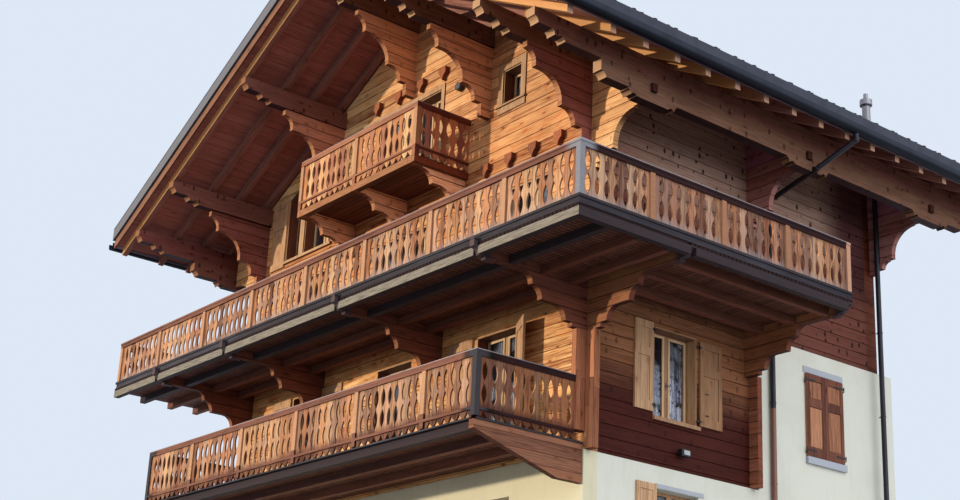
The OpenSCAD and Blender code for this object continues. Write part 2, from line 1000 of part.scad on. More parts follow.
module lower_balcony_railing() {
  color([0.5, 0.38, 0.32])
    place()
      rail_frame(half, lower_depth, -log_end, lower_post_x, lower_floor_z, lower_floor_z + 100,
                 lower_rail_low, lower_rail_top);
}

module lower_balcony_boards() {
  color([0.75, 0.52, 0.34])
    place()
      frame_bays(half, lower_depth, -log_end, lower_post_x, lower_board_low, lower_rail_top - rail_lip,
                 lower_ovals);
}

// carved brackets under the small balcony
module upper_balcony_brackets() {
  color([0.62, 0.38, 0.22])
    place()
      for (x = [-upper_half + 100 + log_thick / 2, 0, upper_half - 100 - log_thick / 2])
        translate([x, 0, 0])
          carved_logs(upper_depth, upper_beam_high - 720, upper_beam_high)
            translate([0, upper_beam_high])
              difference() {
                polygon([[0, 0], [upper_depth, 0], [upper_depth, -140], [1000, -140], [1000, -400],
                         [540, -400], [540, -600], [250, -600], [250, -720], [0, -720]]);
                translate([1000, -400])
                  circle(240);
                translate([540, -600])
                  circle(190);
              }
}

// boards and outer beams of the small balcony, let in between the bracket heads
module upper_balcony_deck() {
  color([0.7, 0.46, 0.26])
    place() {
      block(-upper_half + rail_post, upper_half - rail_post, -upper_depth + rail_post, 0,
            upper_beam_high, upper_beam_high + 60);
      difference() {
        union() {
          block(-upper_half, upper_half, -upper_depth, -upper_depth + 140, upper_beam_low, upper_beam_high);
          both()
            block(upper_half - rail_post, upper_half, -upper_depth + 140, 0,
                  upper_beam_low, upper_beam_high);
        }
        for (x = [-upper_half + 100, -log_thick / 2, upper_half - 100 - log_thick])
          block(x, x + log_thick, -upper_depth - 1, 1, upper_beam_low - 1, upper_beam_high + 1);
      }
    }
}

module upper_balcony_railing() {
  color([0.62, 0.42, 0.28])
    place()
      rail_frame(upper_half, upper_depth, 0, [-rail_post / 2], upper_beam_high, ledge_low,
                 upper_rail_low, upper_rail_top);
}

module upper_balcony_boards() {
  color([0.8, 0.56, 0.34])
    place()
      frame_bays(upper_half, upper_depth, 0, [-rail_post / 2], upper_board_low, upper_rail_top - rail_lip,
                 upper_ovals);
}

// frames for a list of openings
module frames(list) {
  for (h = list)
    difference() {
      field(h[0], h[1], h[2], h[3]);
      leaves(h);
    }
}

// glass areas of one opening
module leaves(h) {
  wide = h[1] - h[0];
  count = wide > 1500 ? 4 : wide > 700 ? 2 : 1;
  step = (wide - 2 * frame_face + meeting_face) / count;
  for (i = [0:count - 1])
    field(h[0] + frame_face + i * step, h[0] + frame_face + (i + 1) * step - meeting_face,
          h[2] + frame_face, h[3] - frame_face);
}

// lining boards of the openings, seen flat
module linings(list) {
  for (h = list)
    difference() {
      field(h[0], h[1], h[2], h[3]);
      field(h[0] + lining_face, h[1] - lining_face, h[2] + lining_face, h[3] - lining_face);
    }
}

module panes(list) {
  for (h = list)
    leaves(h);
}

// frames and linings of all windows and doors, with the casings and sills of the gable
module window_frames() {
  log_openings = concat(middle_front_openings, upper_front_openings, attic_front_openings);
  color([0.72, 0.5, 0.3])
    place() {
      union() {
        panel_xz(frame_inset, frame_inset + frame_depth) {
          frames(log_openings);
          difference() {
            tall_window(0);
            tall_window(frame_face);
          }
        }
        panel_xz(0, frame_inset) {
          linings(log_openings);
          difference() {
            tall_window(0);
            tall_window(lining_face);
          }
        }
        panel_xz(-casing_thick, 0)
          casings();
        block(tall_left, -2700, -60, 0, tall_low - 60, tall_low);
        block(2860, 3710, -60, 0, 9722, 9755);
      }
      panel_xz(130, 130 + frame_depth)
        frames(base_front_openings);
      both() {
        union() {
          panel_yz(half - frame_inset - frame_depth, half - frame_inset)
            frames(middle_side_openings);
          panel_yz(half - frame_inset, half)
            linings(middle_side_openings);
        }
        panel_yz(half - 170 - frame_depth, half - 170)
          frames(concat(base_side_openings, rear_side_openings));
        block(half, half + 55, 1533, 2662, 3535, 3600);
      }
      panel_xz(base_length - 160 - frame_depth, base_length - 160)
        frames(base_rear_openings);
      panel_xz(timber_length - frame_inset - frame_depth, timber_length - frame_inset)
        frames(concat(upper_rear_openings, attic_rear_openings));
    }
}

// boards on the gable wall round the attic window and door, and between the two left windows
module casings() {
  difference() {
    union() {
      field(2885, 3685, 9590, 9722);
      field(2885, 3685, 9755, 10630);
      field(-1140, 1140, upper_beam_high + 60, 10925);
    }
    holes(attic_front_openings);
  }
  polygon([[tall_right, tall_low], [-3850, tall_low], [-3850, slope_line(-3850)],
           [tall_right, slope_line(tall_right)]]);
}

module window_glass() {
  color([0.5, 0.58, 0.62, 0.4])
    place() {
      panel_xz(frame_inset + 25, frame_inset + 25 + glass_thick) {
        panes(concat(middle_front_openings, upper_front_openings, attic_front_openings));
        tall_window(frame_face);
      }
      panel_xz(155, 155 + glass_thick)
        panes(base_front_openings);
      both() {
        panel_yz(half - frame_inset - 25 - glass_thick, half - frame_inset - 25)
          panes(middle_side_openings);
        panel_yz(half - 195 - glass_thick, half - 195)
          panes(concat(base_side_openings, rear_side_openings));
      }
      panel_xz(base_length - 185 - glass_thick, base_length - 185)
        panes(base_rear_openings);
      panel_xz(timber_length - frame_inset - 25 - glass_thick, timber_length - frame_inset - 25)
        panes(concat(upper_rear_openings, attic_rear_openings));
    }
}

// the short and the long panel sunk into a shutter
module shutter_panels(h) {
  tall = h[3] - h[2];
  field(h[0] + stile_face, h[1] - stile_face, h[2] + 0.11 * tall, h[2] + 0.6 * tall);
  field(h[0] + stile_face, h[1] - stile_face, h[2] + 0.7 * tall, h[2] + 0.92 * tall);
}

// shutter of the door, with its hinge blocks on the wall
module door_shutter() {
  leaf = [0, door_leaf, 3060, 5258];
  translate([door_hinge_x, 0, 0]) {
    rotate([0, 0, -door_angle])
      difference() {
        panel_xz(-shutter_thick, 0)
          holes([leaf]);
        panel_xz(-shutter_thick - 1, panel_depth - shutter_thick)
          shutter_panels(leaf);
      }
    for (z = [3300, 4950])
      difference() {
        block(0, 60, -60, 0, z, z + 90);
        rotate([0, 0, -door_angle])
          block(-90, 200, -200, 0, z - 1, z + 91);
      }
  }
}

module side_shutters(face, list) {
  difference() {
    panel_yz(face, face + shutter_thick)
      holes(list);
    panel_yz(face + shutter_thick - panel_depth, face + shutter_thick + 1)
      for (h = list)
        shutter_panels(h);
  }
}

// framed shutters standing open against the walls, and closed ones at the rear
module window_shutters() {
  color([0.76, 0.52, 0.3])
    place() {
      both() {
        side_shutters(half, middle_side_shutters);
        side_shutters(base_half, base_side_shutters);
      }
      difference() {
        panel_xz(-shutter_thick, 0)
          holes(front_shutters);
        panel_xz(-shutter_thick - 1, panel_depth - shutter_thick)
          for (h = front_shutters)
            shutter_panels(h);
      }
      door_shutter();
    }
}

// pale lintels and sills in the masonry
module window_lintels() {
  color([0.75, 0.75, 0.72])
    place()
      both() {
        block(base_half, base_half + 15, 1592, 2737, 2365, 2440);
        block(base_half, base_half + 15, 5420, 6560, 5205, 5320);
        block(base_half, base_half + 60, 5455, 6575, 3460, 3590);
      }
}

// shield-shaped ends of the floor joists, side by side under the attic and under the ridge
module joist_heads() {
  color([0.62, 0.36, 0.2])
    place()
      panel_xz(-100, 0)
        for (p = concat([for (x = joist_x) [x, joist_top]], [for (x = ridge_joist_x) [x, ridge_joist_top]]))
          translate(p)
            shield();
}

// end of one joist, with hollow sides that run down to a point
module shield() {
  w = joist_width / 2;
  difference() {
    polygon([[-w, 0], [w, 0], [w, -130], [0, -joist_drop], [-w, -130]]);
    both()
      translate([w + 40, -269])
        circle(132);
  }
}

module wall_lamps() {
  color([0.2, 0.2, 0.22])
    place() {
      translate([1690, 0, 10620])
        rotate([90, 0, 0])
          cylinder(r = 90, h = 110);
      block(half, half + 60, 2170, 2240, 3020, 3080);
      block(half + 60, half + 150, 2100, 2310, 2990, 3110);
    }
}

base_walls_front();
base_walls_sides();
base_wall_rear();
storey_floors();
middle_wall_front();
middle_walls_sides();
gable_wall_front();
upper_walls_sides();
gable_wall_rear();
corner_log_ends();
gable_brackets();
side_brackets();
roof_purlins();
eave_timbers();
rafters_right();
rafters_left();
roof_boarding_right();
roof_boarding_left();
roof_covering_right();
roof_covering_left();
verge_boards();
gutters();
downpipes();
flue();
main_balcony_brackets();
main_balcony_beams();
main_balcony_deck();
main_balcony_edge();
main_balcony_railing();
main_balcony_boards();
lower_balcony_beams();
lower_balcony_deck();
lower_balcony_cheeks();
lower_balcony_railing();
lower_balcony_boards();
upper_balcony_brackets();
upper_balcony_deck();
upper_balcony_railing();
upper_balcony_boards();
window_frames();
window_glass();
window_shutters();
window_lintels();
joist_heads();
wall_lamps();
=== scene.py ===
import math
import random

import bmesh
import bpy
from mathutils import Matrix, Vector


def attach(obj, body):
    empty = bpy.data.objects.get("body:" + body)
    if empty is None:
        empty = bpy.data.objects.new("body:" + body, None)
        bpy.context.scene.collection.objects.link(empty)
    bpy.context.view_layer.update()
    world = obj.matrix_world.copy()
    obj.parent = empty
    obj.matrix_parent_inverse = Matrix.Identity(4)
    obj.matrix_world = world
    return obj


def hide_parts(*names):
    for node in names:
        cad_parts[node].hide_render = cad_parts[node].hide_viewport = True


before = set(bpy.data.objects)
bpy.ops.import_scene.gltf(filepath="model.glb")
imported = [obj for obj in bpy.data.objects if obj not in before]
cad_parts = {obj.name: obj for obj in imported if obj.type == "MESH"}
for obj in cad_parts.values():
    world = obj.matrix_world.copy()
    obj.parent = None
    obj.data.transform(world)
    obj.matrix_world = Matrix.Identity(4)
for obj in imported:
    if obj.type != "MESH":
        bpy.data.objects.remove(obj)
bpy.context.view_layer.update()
rng = random.Random(7)

# The building's own axes are in millimetres, with the gable wall at y = 0.
SHIFT = 3850  # from the gable wall to the middle of the footprint
HALF = 5533  # from the middle to the face of the side walls
SLOPE = 0.525  # fall of the roof for each length outwards
COS, SIN = 0.885, 0.465  # of the roof's angle
RAFTER = 10016  # top of the rafters over the side walls


def rgb(r, g, b):
    def one(v):
        v /= 255
        return v / 12.92 if v <= 0.04045 else ((v + 0.055) / 1.055) ** 2.4

    return (one(r), one(g), one(b), 1.0)


# Materials. Their places are in metres from the middle of the footprint on the ground.


class Value:
    """A number in a node tree, which takes the signs of arithmetic."""

    def __init__(self, net, socket):
        self.net, self.socket = net, socket

    def __add__(self, other):
        return self.net.math("ADD", self, other)

    def __mul__(self, other):
        return self.net.math("MULTIPLY", self, other)

    __radd__, __rmul__ = __add__, __mul__

    def __sub__(self, other):
        return self.net.math("SUBTRACT", self, other)

    def __rsub__(self, other):
        return self.net.math("SUBTRACT", other, self)

    def __truediv__(self, other):
        return self.net.math("DIVIDE", self, other)

    def __gt__(self, other):
        return self.net.math("GREATER_THAN", self, other)

    def __lt__(self, other):
        return self.net.math("LESS_THAN", self, other)

    def __abs__(self):
        return self.net.math("ABSOLUTE", self)


class Tree:
    def __init__(self, tree):
        self.tree = tree

    def add(self, kind, settings=None, **inputs):
        """A node; inputs are named, or numbered as _0, _1 and so on."""
        n = self.tree.nodes.new(kind)
        for k, v in (settings or {}).items():
            setattr(n, k, v)
        for k, v in inputs.items():
            self.put(n.inputs[int(k[1:]) if k[0] == "_" else k], v)
        return n

    def put(self, socket, v):
        v = v.socket if isinstance(v, Value) else v
        if isinstance(v, bpy.types.NodeSocket):
            self.tree.links.new(v, socket)
        else:
            socket.default_value = v

    def math(self, op, a, b=0.0, clamp=False):
        return Value(self, self.add("ShaderNodeMath", {"operation": op, "use_clamp": clamp}, _0=a, _1=b).outputs[0])

    def either(self, a, b):
        return self.math("MAXIMUM", a, b)


class Net(Tree):
    """The node tree of a new material."""

    def __init__(self, name):
        self.mat = bpy.data.materials.new(name)
        self.mat.use_nodes = True
        super().__init__(self.mat.node_tree)
        self.out = self.tree.nodes["Principled BSDF"]
        self.coord = self.add("ShaderNodeTexCoord").outputs["Object"]
        self.geo = self.add("ShaderNodeNewGeometry")

    def mix(self, fac, a, b, blend="MIX"):
        return self.add("ShaderNodeMix", {"data_type": "RGBA", "blend_type": blend}, _0=fac, _6=a, _7=b).outputs[2]

    def tint(self, color, factor):
        return self.mix(1.0, color, (*factor, 1.0), "MULTIPLY")

    def times(self, color, factor, amount):
        return self.mix(amount, color, self.tint(color, factor))

    def blend(self, fac, a, b):
        return Value(self, self.add("ShaderNodeMix", {"data_type": "FLOAT"}, _0=fac, _2=a, _3=b).outputs[0])

    def step(self, v, lo, hi):
        """Smooth step from 0 at lo to 1 at hi."""
        n = self.add("ShaderNodeMapRange", {"interpolation_type": "SMOOTHSTEP"}, _0=v, _1=lo, _2=hi, _3=0.0, _4=1.0)
        return Value(self, n.outputs[0])

    def xyz(self, v):
        return [Value(self, s) for s in self.add("ShaderNodeSeparateXYZ", _0=v).outputs]

    def vec(self, x, y, z):
        return self.add("ShaderNodeCombineXYZ", _0=x, _1=y, _2=z).outputs[0]

    def noise(self, v, scale=1.0, detail=3.0, rough=0.5, distortion=0.0):
        n = self.add("ShaderNodeTexNoise", Vector=v, Scale=scale, Detail=detail, Roughness=rough, Distortion=distortion)
        return Value(self, n.outputs[0])

    def random(self, v):
        return Value(self, self.add("ShaderNodeTexWhiteNoise", {"noise_dimensions": "1D"}, W=v).outputs["Value"])

    def bump(self, height, distance, strength):
        return self.add("ShaderNodeBump", Strength=strength, Distance=distance, Height=height).outputs[0]

    def finish(self, color, rough, normal=None, **fixed):
        self.put(self.out.inputs["Base Color"], color)
        self.put(self.out.inputs["Roughness"], rough)
        if normal is not None:
            self.put(self.out.inputs["Normal"], normal)
        for k, v in fixed.items():
            self.out.inputs[k.replace("_", " ")].default_value = v
        return self.mat


# Rows of logs or boards: axis (r is the distance from the ridge), start and pitch.
LOG = ("z", 2.8075, 0.2245)
RAFTER_ROW = ("y", 0.0, 0.721)
ROOF_ROW = ("r", 0.0, 0.16)
FLOOR_ROW = ("x", 0.0, 0.14)
CHEEK_ROW = ("z", 0.12, 0.2)


def grain_axes(n, grain, pos, side):
    """The places along the fibres, across them and in the third direction."""
    x, y, z = pos
    if grain == "auto":
        return n.blend(side, x, y), n.blend(side, y, x), z
    if grain == "slope":
        run = abs(x)
        return run * COS - z * SIN, y, run * SIN + z * COS
    return {"x": (x, y, z), "y": (y, x, z), "z": (z, x, y)}[grain]


def wood(name, light, dark, grain="auto", index=None, knots=1.0, spikes=0.0, grey=0.0, grey_color=None, stain=0.3,
         lines=0.0, vary=0.5, island=False, ends=False, palette=None, streaks=0.0, sides=None, paint=None,
         under_shade=(0.34, 0.28, 0.33)):
    """Sawn wood. grain is the direction of the fibres and index the row of its boards or logs; palette lists
    the colours of single boards; sides tints the faces towards X, as painted shade where it darkens and
    painted light where it brightens; the tint of the faces towards the ground is painted shade; paint
    changes the colour last."""
    n = Net(name)
    pos = n.xyz(n.coord)
    normal = n.xyz(n.geo.outputs["True Normal"])
    side = abs(normal[0]) > 0.7
    along, across, up = grain_axes(n, grain, pos, side)
    if island:
        one = Value(n, n.geo.outputs["Random Per Island"])
    elif index:
        axis, start, pitch = index
        row = ((abs(pos[0]) if axis == "r" else pos["xyz".index(axis)]) - start) / pitch
        one = n.random(n.math("FLOOR", row) + side * 31.0)
        joint = n.step(abs(n.math("FRACT", row) - 0.5), 0.5 - 0.009 / pitch, 0.5 - 0.002 / pitch)
    else:
        one = n.random(n.math("FLOOR", across * 0.9))
    two = n.random(one * 57.0 + 3.0)
    shifted = along + one * 41.0
    stretched = n.vec(shifted * 0.8, across * 11.0, up * 11.0)
    broad = n.noise(stretched, 1.0, 4.0, 0.55, 0.6)
    fine = n.noise(n.vec(shifted * 3.0, across * 90.0, up * 90.0), 1.0, 3.0, 0.6)
    rings = n.math("SINE", (up + across) * 150.0 + broad * 26.0)
    figure = broad * 0.6 + (fine * 0.35 + rings * 0.09)
    if ends:
        # growth rings on the sawn ends, round the heart of each log
        axis, start, pitch = LOG
        h = (n.math("FRACT", (pos[2] - start) / pitch) - 0.5) * pitch
        w = across - one * 0.05
        figure = figure + n.math("SINE", n.math("SQRT", h * h + w * w) * 520.0) * 0.1
    tone = n.math("ADD", n.step(figure, 0.25, 0.85), (one - 0.5) * vary, clamp=True)
    if palette:
        ramp = n.add("ShaderNodeValToRGB", _0=two)
        ramp.color_ramp.interpolation = "CONSTANT"
        stops = ramp.color_ramp.elements
        stops.remove(stops[0])
        for i, c in enumerate(palette):
            e = stops[0] if i == 0 else stops.new(i / len(palette))
            e.position, e.color = i / len(palette), rgb(*c)
        light = ramp.outputs[0]
        dark = n.tint(light, (0.34, 0.25, 0.22))
    color = n.mix(tone, light, dark)
    # warm and pale differences from piece to piece
    color = n.times(color, (1.0, 0.84, 0.68), two * 0.35)
    if streaks:
        pale = n.step(n.noise(n.vec(shifted * 0.5, across * 5.0, up * 7.0), 1.0, 3.0, 0.6, 0.8), 0.5, 0.72)
        color = n.mix(pale * streaks, color, n.tint(light, (1.12, 1.2, 1.3)))
    wide = n.noise(n.coord, 0.55, 3.0, 0.6, 0.4)
    color = n.times(color, (0.5, 0.42, 0.42), n.step(wide, 0.42, 0.75) * stain)
    if knots:
        cells = n.add("ShaderNodeTexVoronoi", Vector=n.vec(shifted / 0.42, across / 0.2, up / 0.2), Scale=1.0)
        d = Value(n, cells.outputs["Distance"])
        knot, halo = 1.0 - n.step(d, 0.05, 0.15), 1.0 - n.step(d, 0.12, 0.34)
        color = n.times(color, (0.8, 0.66, 0.6), halo * (0.7 * knots))
        color = n.mix(knot * (0.8 * knots), color, n.tint(dark, (0.35, 0.22, 0.2)))
    if spikes:
        # small dark marks of random size
        place = n.vec(shifted / 0.2, (up + across) / 0.34, 0.0)
        cells = n.add("ShaderNodeTexVoronoi", {"voronoi_dimensions": "2D"}, Vector=place, Scale=1.0)
        d = Value(n, cells.outputs["Distance"]) + fine * 0.08
        size = n.step(n.xyz(cells.outputs["Color"])[0], 0.15, 0.95) * 0.22
        spike = 1.0 - n.step(d, size - 0.04, size + 0.02)
        color = n.mix(spike * spikes, color, n.tint(dark, (0.2, 0.13, 0.13)))
    if grey:
        worn = n.step(n.noise(stretched, 0.5, 4.0, 0.6), 0.62 - grey * 0.4, 0.95 - grey * 0.4)
        old = n.times(rgb(*grey_color), (0.45, 0.45, 0.47), fine * 0.8 + 0.1)
        color = n.mix(worn * min(1.0, grey * 1.3), color, old)
    # painted shade on the faces towards X, and painted light where a factor of the tint is above one
    if sides:
        color = n.times(color, sides, side)
    # painted shade on the faces towards the ground
    if under_shade:
        color = n.times(color, under_shade, n.step(normal[2], -0.55, -0.85))
    if paint:
        color = paint(n, color, pos, normal, fine)
    height = figure
    if index:
        color = n.times(color, (0.32, 0.2, 0.16), joint * lines)
        height = figure - joint * 2.0
    return n.finish(color, fine * 0.2 + 0.54, n.bump(height, 0.004, 0.6), Specular_IOR_Level=0.1)


def plaster(name, color, soil):
    n = Net(name)
    x, y, z = n.xyz(n.coord)
    cloud = n.noise(n.coord, 0.8, 4.0, 0.6, 0.3)
    streak = n.noise(n.vec(x * 6.0, y * 6.0, z * 0.7), 1.0, 3.0, 0.6)
    grit, lumps = n.noise(n.coord, 46.0, 4.0, 0.65), n.noise(n.coord, 9.0, 3.0, 0.5)
    c = n.mix(n.step(cloud, 0.4, 0.75) * 0.35, color, soil)
    c = n.mix(n.step(streak, 0.5, 0.8) * 0.22, c, soil)
    c = n.mix(n.step(grit, 0.55, 0.75) * 0.12, c, n.tint(color, (0.8, 0.8, 0.78)))
    return n.finish(c, 0.9, n.bump(grit * 0.6 + lumps, 0.006, 0.7), Specular_IOR_Level=0.2)


def metal(name, color, worn, rough=0.4, metallic=0.6, paint=None, shine=0.5):
    n = Net(name)
    x, y, z = pos = n.xyz(n.coord)
    cloud, speck = n.noise(n.coord, 2.2, 4.0, 0.6, 0.5), n.noise(n.coord, 90.0, 2.0, 0.6)
    streak = n.noise(n.vec(x * 14.0, y * 14.0, z * 1.5), 1.0, 3.0, 0.6)
    c = n.mix(n.step(cloud, 0.4, 0.7) * 0.5, color, worn)
    c = n.mix(n.step(streak, 0.5, 0.75) * 0.3, c, n.tint(worn, (0.7, 0.7, 0.7)))
    if paint:
        c = paint(n, c, pos, n.xyz(n.geo.outputs["True Normal"]))
    rough = cloud * 0.25 + (rough - 0.1)
    return n.finish(c, rough, n.bump(speck, 0.0006, 0.4), Metallic=metallic, Specular_IOR_Level=shine)


def pane(name):
    """A dark pane with pale painted reflections and brighter painted glints inside them, and a pale curtain behind
    the windows of the middle storey's sides.
    """
    n = Net(name)
    x, y, z = n.xyz(n.coord)
    # pale painted reflections on the glass
    reflection_patches = n.noise(n.vec(x * 1.2, y * 1.2, z * 0.8), 1.6, 3.0, 0.6, 1.2)
    glints_and_folds = n.noise(n.vec(x * 22.0, y * 22.0, z * 1.5), 1.0, 3.0, 0.6)
    c = n.mix(n.step(reflection_patches, 0.45, 0.62), rgb(24, 26, 32), rgb(96, 104, 116))
    # brighter painted glints inside the reflections
    c = n.mix(n.step(glints_and_folds, 0.52, 0.68) * n.step(reflection_patches, 0.48, 0.6), c, rgb(176, 180, 186))
    curtain = (abs(x) > 5.1) * (n.step(z, 4.75, 4.3) * n.step(z, 3.3, 3.4))
    cloth = n.mix(n.step(glints_and_folds, 0.44, 0.6), rgb(104, 112, 138), rgb(186, 192, 206))
    c = n.mix(curtain * n.step(n.noise(n.coord, 9.0, 4.0, 0.7), 0.4, 0.55), c, cloth)
    return n.finish(c, 0.06, n.bump(reflection_patches, 0.002, 0.2), Specular_IOR_Level=0.9, Coat_Weight=0.4)


# Paints: each changes a material's colour by place and by the direction of the face.


def flanks(n, normal):
    return n.step(abs(normal[0]), 0.5, 0.8)


def by_height(*stops):
    """Tints that set in between two heights: (none at, full at, tint)."""
    def paint(n, color, pos, normal, fine):
        for z0, z1, factor in stops:
            color = n.times(color, factor, n.step(pos[2], z0, z1))
        return color

    return paint


def shade_behind_rear_bracket(n, color, pos, normal, fine):
    """The log ends are darker behind the rear bracket: painted shade."""
    return n.times(color, (0.36, 0.26, 0.3), n.step(pos[1], 2.4, 3.0))


def deck_gap_shade(n, color, pos, normal, fine):
    """The upright faces of the deck boards are dark: painted shade in the joints between them and along the deck's
    edge.
    """
    return n.times(color, (0.14, 0.13, 0.17), n.step(abs(normal[2]), 0.5, 0.3))


def old_heads(n, color, pos, normal, fine):
    """The heads of the balcony brackets are weathered nearly black."""
    color = n.times(color, (1.4, 1.5, 1.1), n.step(normal[1], -0.2, -0.6))
    head = n.either(n.step(pos[1], -5.85, -6.0), n.step(abs(pos[0]), 7.5, 7.66))
    return n.mix(head * 0.85, color, n.times(rgb(74, 70, 76), (0.5, 0.5, 0.55), fine))


def old_beams(n, color, pos, normal, fine):
    """The weathered front beam is pale, the outer beams are nearly black, the inner ones brown."""
    outer = n.either(n.step(pos[1], -5.3, -5.4), n.step(pos[0], 7.7, 7.78))
    color = n.mix(outer * 0.9, color, n.times(rgb(46, 44, 50), (0.5, 0.5, 0.55), fine))
    pale = n.times(rgb(140, 132, 118), (0.3, 0.28, 0.28), n.step(fine, 0.4, 0.68) * 0.85)
    return n.mix((pos[1] < -6.19) * n.step(normal[1], -0.5, -0.8), color, pale)


def ledge_line(n, color, pos, normal, fine):
    """Thin pale line on the ledge of the main balcony."""
    line = n.step(pos[2], 5.79, 5.795) * (1.0 - n.step(normal[2], -0.6, -0.4))
    return n.mix(n.step(pos[2], 5.812, 5.822) * (fine * 0.5 + 0.3) * line, color, rgb(150, 156, 168))


def weathered_boards_and_side_shade(n, color, pos, normal, fine):
    """Railing boards with upright streaks, dark tails on the lower balcony and grey feet on the main one. Their
    faces towards X are darker on the lower balcony and bluer on the main one: painted shade.
    """
    main = pos[2] > 5.0
    color = n.times(color, (0.42, 0.34, 0.34), n.step(pos[2], 3.2, 3.0))
    # painted shade on the faces towards X
    color = n.times(color, (0.66, 0.6, 0.6), flanks(n, normal) * (pos[2] < 4.2))
    color = n.times(color, (0.98, 1.1, 1.3), flanks(n, normal) * main)
    streak = n.noise(n.vec(pos[0] * 26.0, pos[1] * 26.0, pos[2] * 1.6), 1.0, 4.0, 0.65, 0.4)
    color = n.times(color, (0.4, 0.33, 0.31), n.step(streak, 0.5, 0.62) * 0.75)
    feet = n.step(pos[2], 6.04, 5.84) * main
    return n.mix(feet * (n.step(fine, 0.35, 0.65) * 0.75), color, rgb(146, 140, 144))


def lighter_and_lit_rafters(n, color, pos, normal, fine):
    """The outer rafters, and those at the front right, are lighter than the rest: partly lighter wood, partly
    painted sunlight. The undersides of the outer ones stay dark, and the faces towards X are pale.
    """
    new = n.step(pos[0], 5.5, 5.56) * n.step(pos[1], -1.2, -2.6)
    color = n.mix(new, color, n.times(rgb(222, 168, 112), (0.66, 0.56, 0.5), fine))
    outer = n.step(abs(pos[1]), 6.2, 6.22) * n.step(normal[2], -0.85, -0.6)
    color = n.mix(outer, color, n.times(rgb(244, 186, 124), (0.7, 0.6, 0.55), fine))
    return n.mix(n.step(abs(normal[0]), 0.8, 0.9), color, n.times(rgb(216, 172, 144), (0.6, 0.5, 0.5), fine))


def sheet_edge(n, color, pos, normal):
    """The folded edges of the roof sheet at the gables are pale below the top of the sheet."""
    gable = n.step(abs(normal[1]), 0.6, 0.8)
    return n.mix(gable * (pos[2] + abs(pos[0]) * SLOPE < 13.468), color, rgb(108, 107, 112))


def gutter_shade(n, color, pos, normal):
    """The lower half of the gutters is darker."""
    return n.times(color, (0.12, 0.12, 0.2), n.step(normal[2], -0.2, -0.6))


def pipe_foot(n, color, pos, normal):
    """The front downpipe is copper below the middle of the side windows."""
    return n.mix((1.0 - n.step(pos[2], 4.28, 4.3)) * (pos[1] < 1.5), color, rgb(122, 84, 70))


def back_bracket_shade(n, color, pos, normal, fine):
    """The brackets at the front corner are as bright as the gable; the others are darker and bluer, most of all high
    up: painted shade under the eave.
    """
    back = n.step(pos[1], -3.0, -2.0)
    color = n.times(n.tint(color, (1.12, 1.3, 1.45)), (0.54, 0.44, 0.86), back)
    return n.times(color, (1.0, 0.9, 1.4), back * n.step(pos[2], 8.75, 8.9))


def timber_shade_and_tints(n, color, pos, normal, fine):
    """The eave timbers are darker near the rafters and at their tops: painted shade under the eave. The purlins of
    the left slope are redder, the noses light.
    """
    color = n.times(color, (0.3, 0.16, 0.2), n.step(abs(pos[0]), 6.983, 6.987))
    color = n.times(color, (1.0, 0.8, 0.9), n.step(abs(pos[0]), 6.5, 6.6) * n.step(pos[2], 8.8, 8.98))
    left = n.step(pos[0], -1.0, -2.0)
    color = n.times(color, (0.78, 0.62, 0.74), left)
    head = n.times(n.times(rgb(204, 164, 124), (0.6, 0.5, 0.45), fine), (0.6, 0.46, 0.42), left)
    return n.mix(n.step(pos[1], -4.6, -4.7) * n.step(normal[1], -0.2, -0.5), color, head)


def eave_strip(n, color, pos, normal, fine):
    """The strip behind the gutters is covered with pale metal."""
    strip = n.step(abs(pos[0]), 7.69, 7.695) * n.step(abs(normal[1]), 0.9, 0.5)
    return n.mix(strip, color, rgb(120, 114, 132))


def side_shade(n, color, pos, normal, fine):
    """The side wall is darker towards the front, dark red low down where the balcony railing shades it, and dark in
    the corner behind the rear bracket: all painted shade.
    """
    color = n.times(color, (0.78, 0.66, 0.64), n.step(pos[1], -1.6, -3.6))
    color = n.times(color, (0.25, 0.12, 0.105), n.step(pos[2], 8.5, 7.2))
    return n.times(color, (0.24, 0.14, 0.18), n.step(pos[1], 2.0, 3.0) * n.step(pos[2], 6.6, 7.6))


def rail_marks(n, color, pos, normal, fine):
    """Weathered rails: brown posts, grey corner posts, grey upper faces with a pale edge, and a newer post at
    the end of the side balcony."""
    # the posts' faces towards X are darker: painted shade
    post = n.times(n.times(rgb(202, 156, 120), (0.6, 0.5, 0.45), fine), (0.72, 0.64, 0.62), flanks(n, normal))
    for lo, hi in ((3.12, 3.84), (5.84, 6.62), (8.9, 9.67)):
        color = n.mix((pos[2] > lo) * (pos[2] < hi), color, post)
    grey = n.step(normal[2], 0.6, 0.8) * 0.85
    for cx, cy, z0, z1, reach in ((7.86, -6.14, 5.0, 7.0, 0.34), (5.48, -6.07, 2.0, 4.5, 0.26)):
        dx, dy = abs(pos[0]) - cx, pos[1] - cy
        far = n.step(n.math("SQRT", dx * dx + dy * dy), reach * 0.45, reach)
        grey = n.either(grey, n.step(pos[2], z0, z0 + 0.01) * (pos[2] < z1) * (1.0 - far))
    color = n.mix(grey, color, n.times(rgb(142, 141, 147), (0.55, 0.55, 0.58), fine * 0.9))
    low_corner = (pos[2] < 3.95) * (n.step(pos[1], -5.5, -5.9) * n.step(abs(pos[0]), 5.1, 5.3))
    color = n.times(color, (0.2, 0.18, 0.18), low_corner)
    color = n.mix(n.step(pos[1], -0.02, -0.005), color, n.times(rgb(206, 160, 130), (0.6, 0.5, 0.5), fine))
    edge = 0.0
    for top in (3.956, 6.74, 9.79):
        edge = n.either(edge, abs(pos[2] - top) < 0.013)
    return n.mix(edge * (fine * 0.8 + 0.2), color, rgb(176, 166, 168))


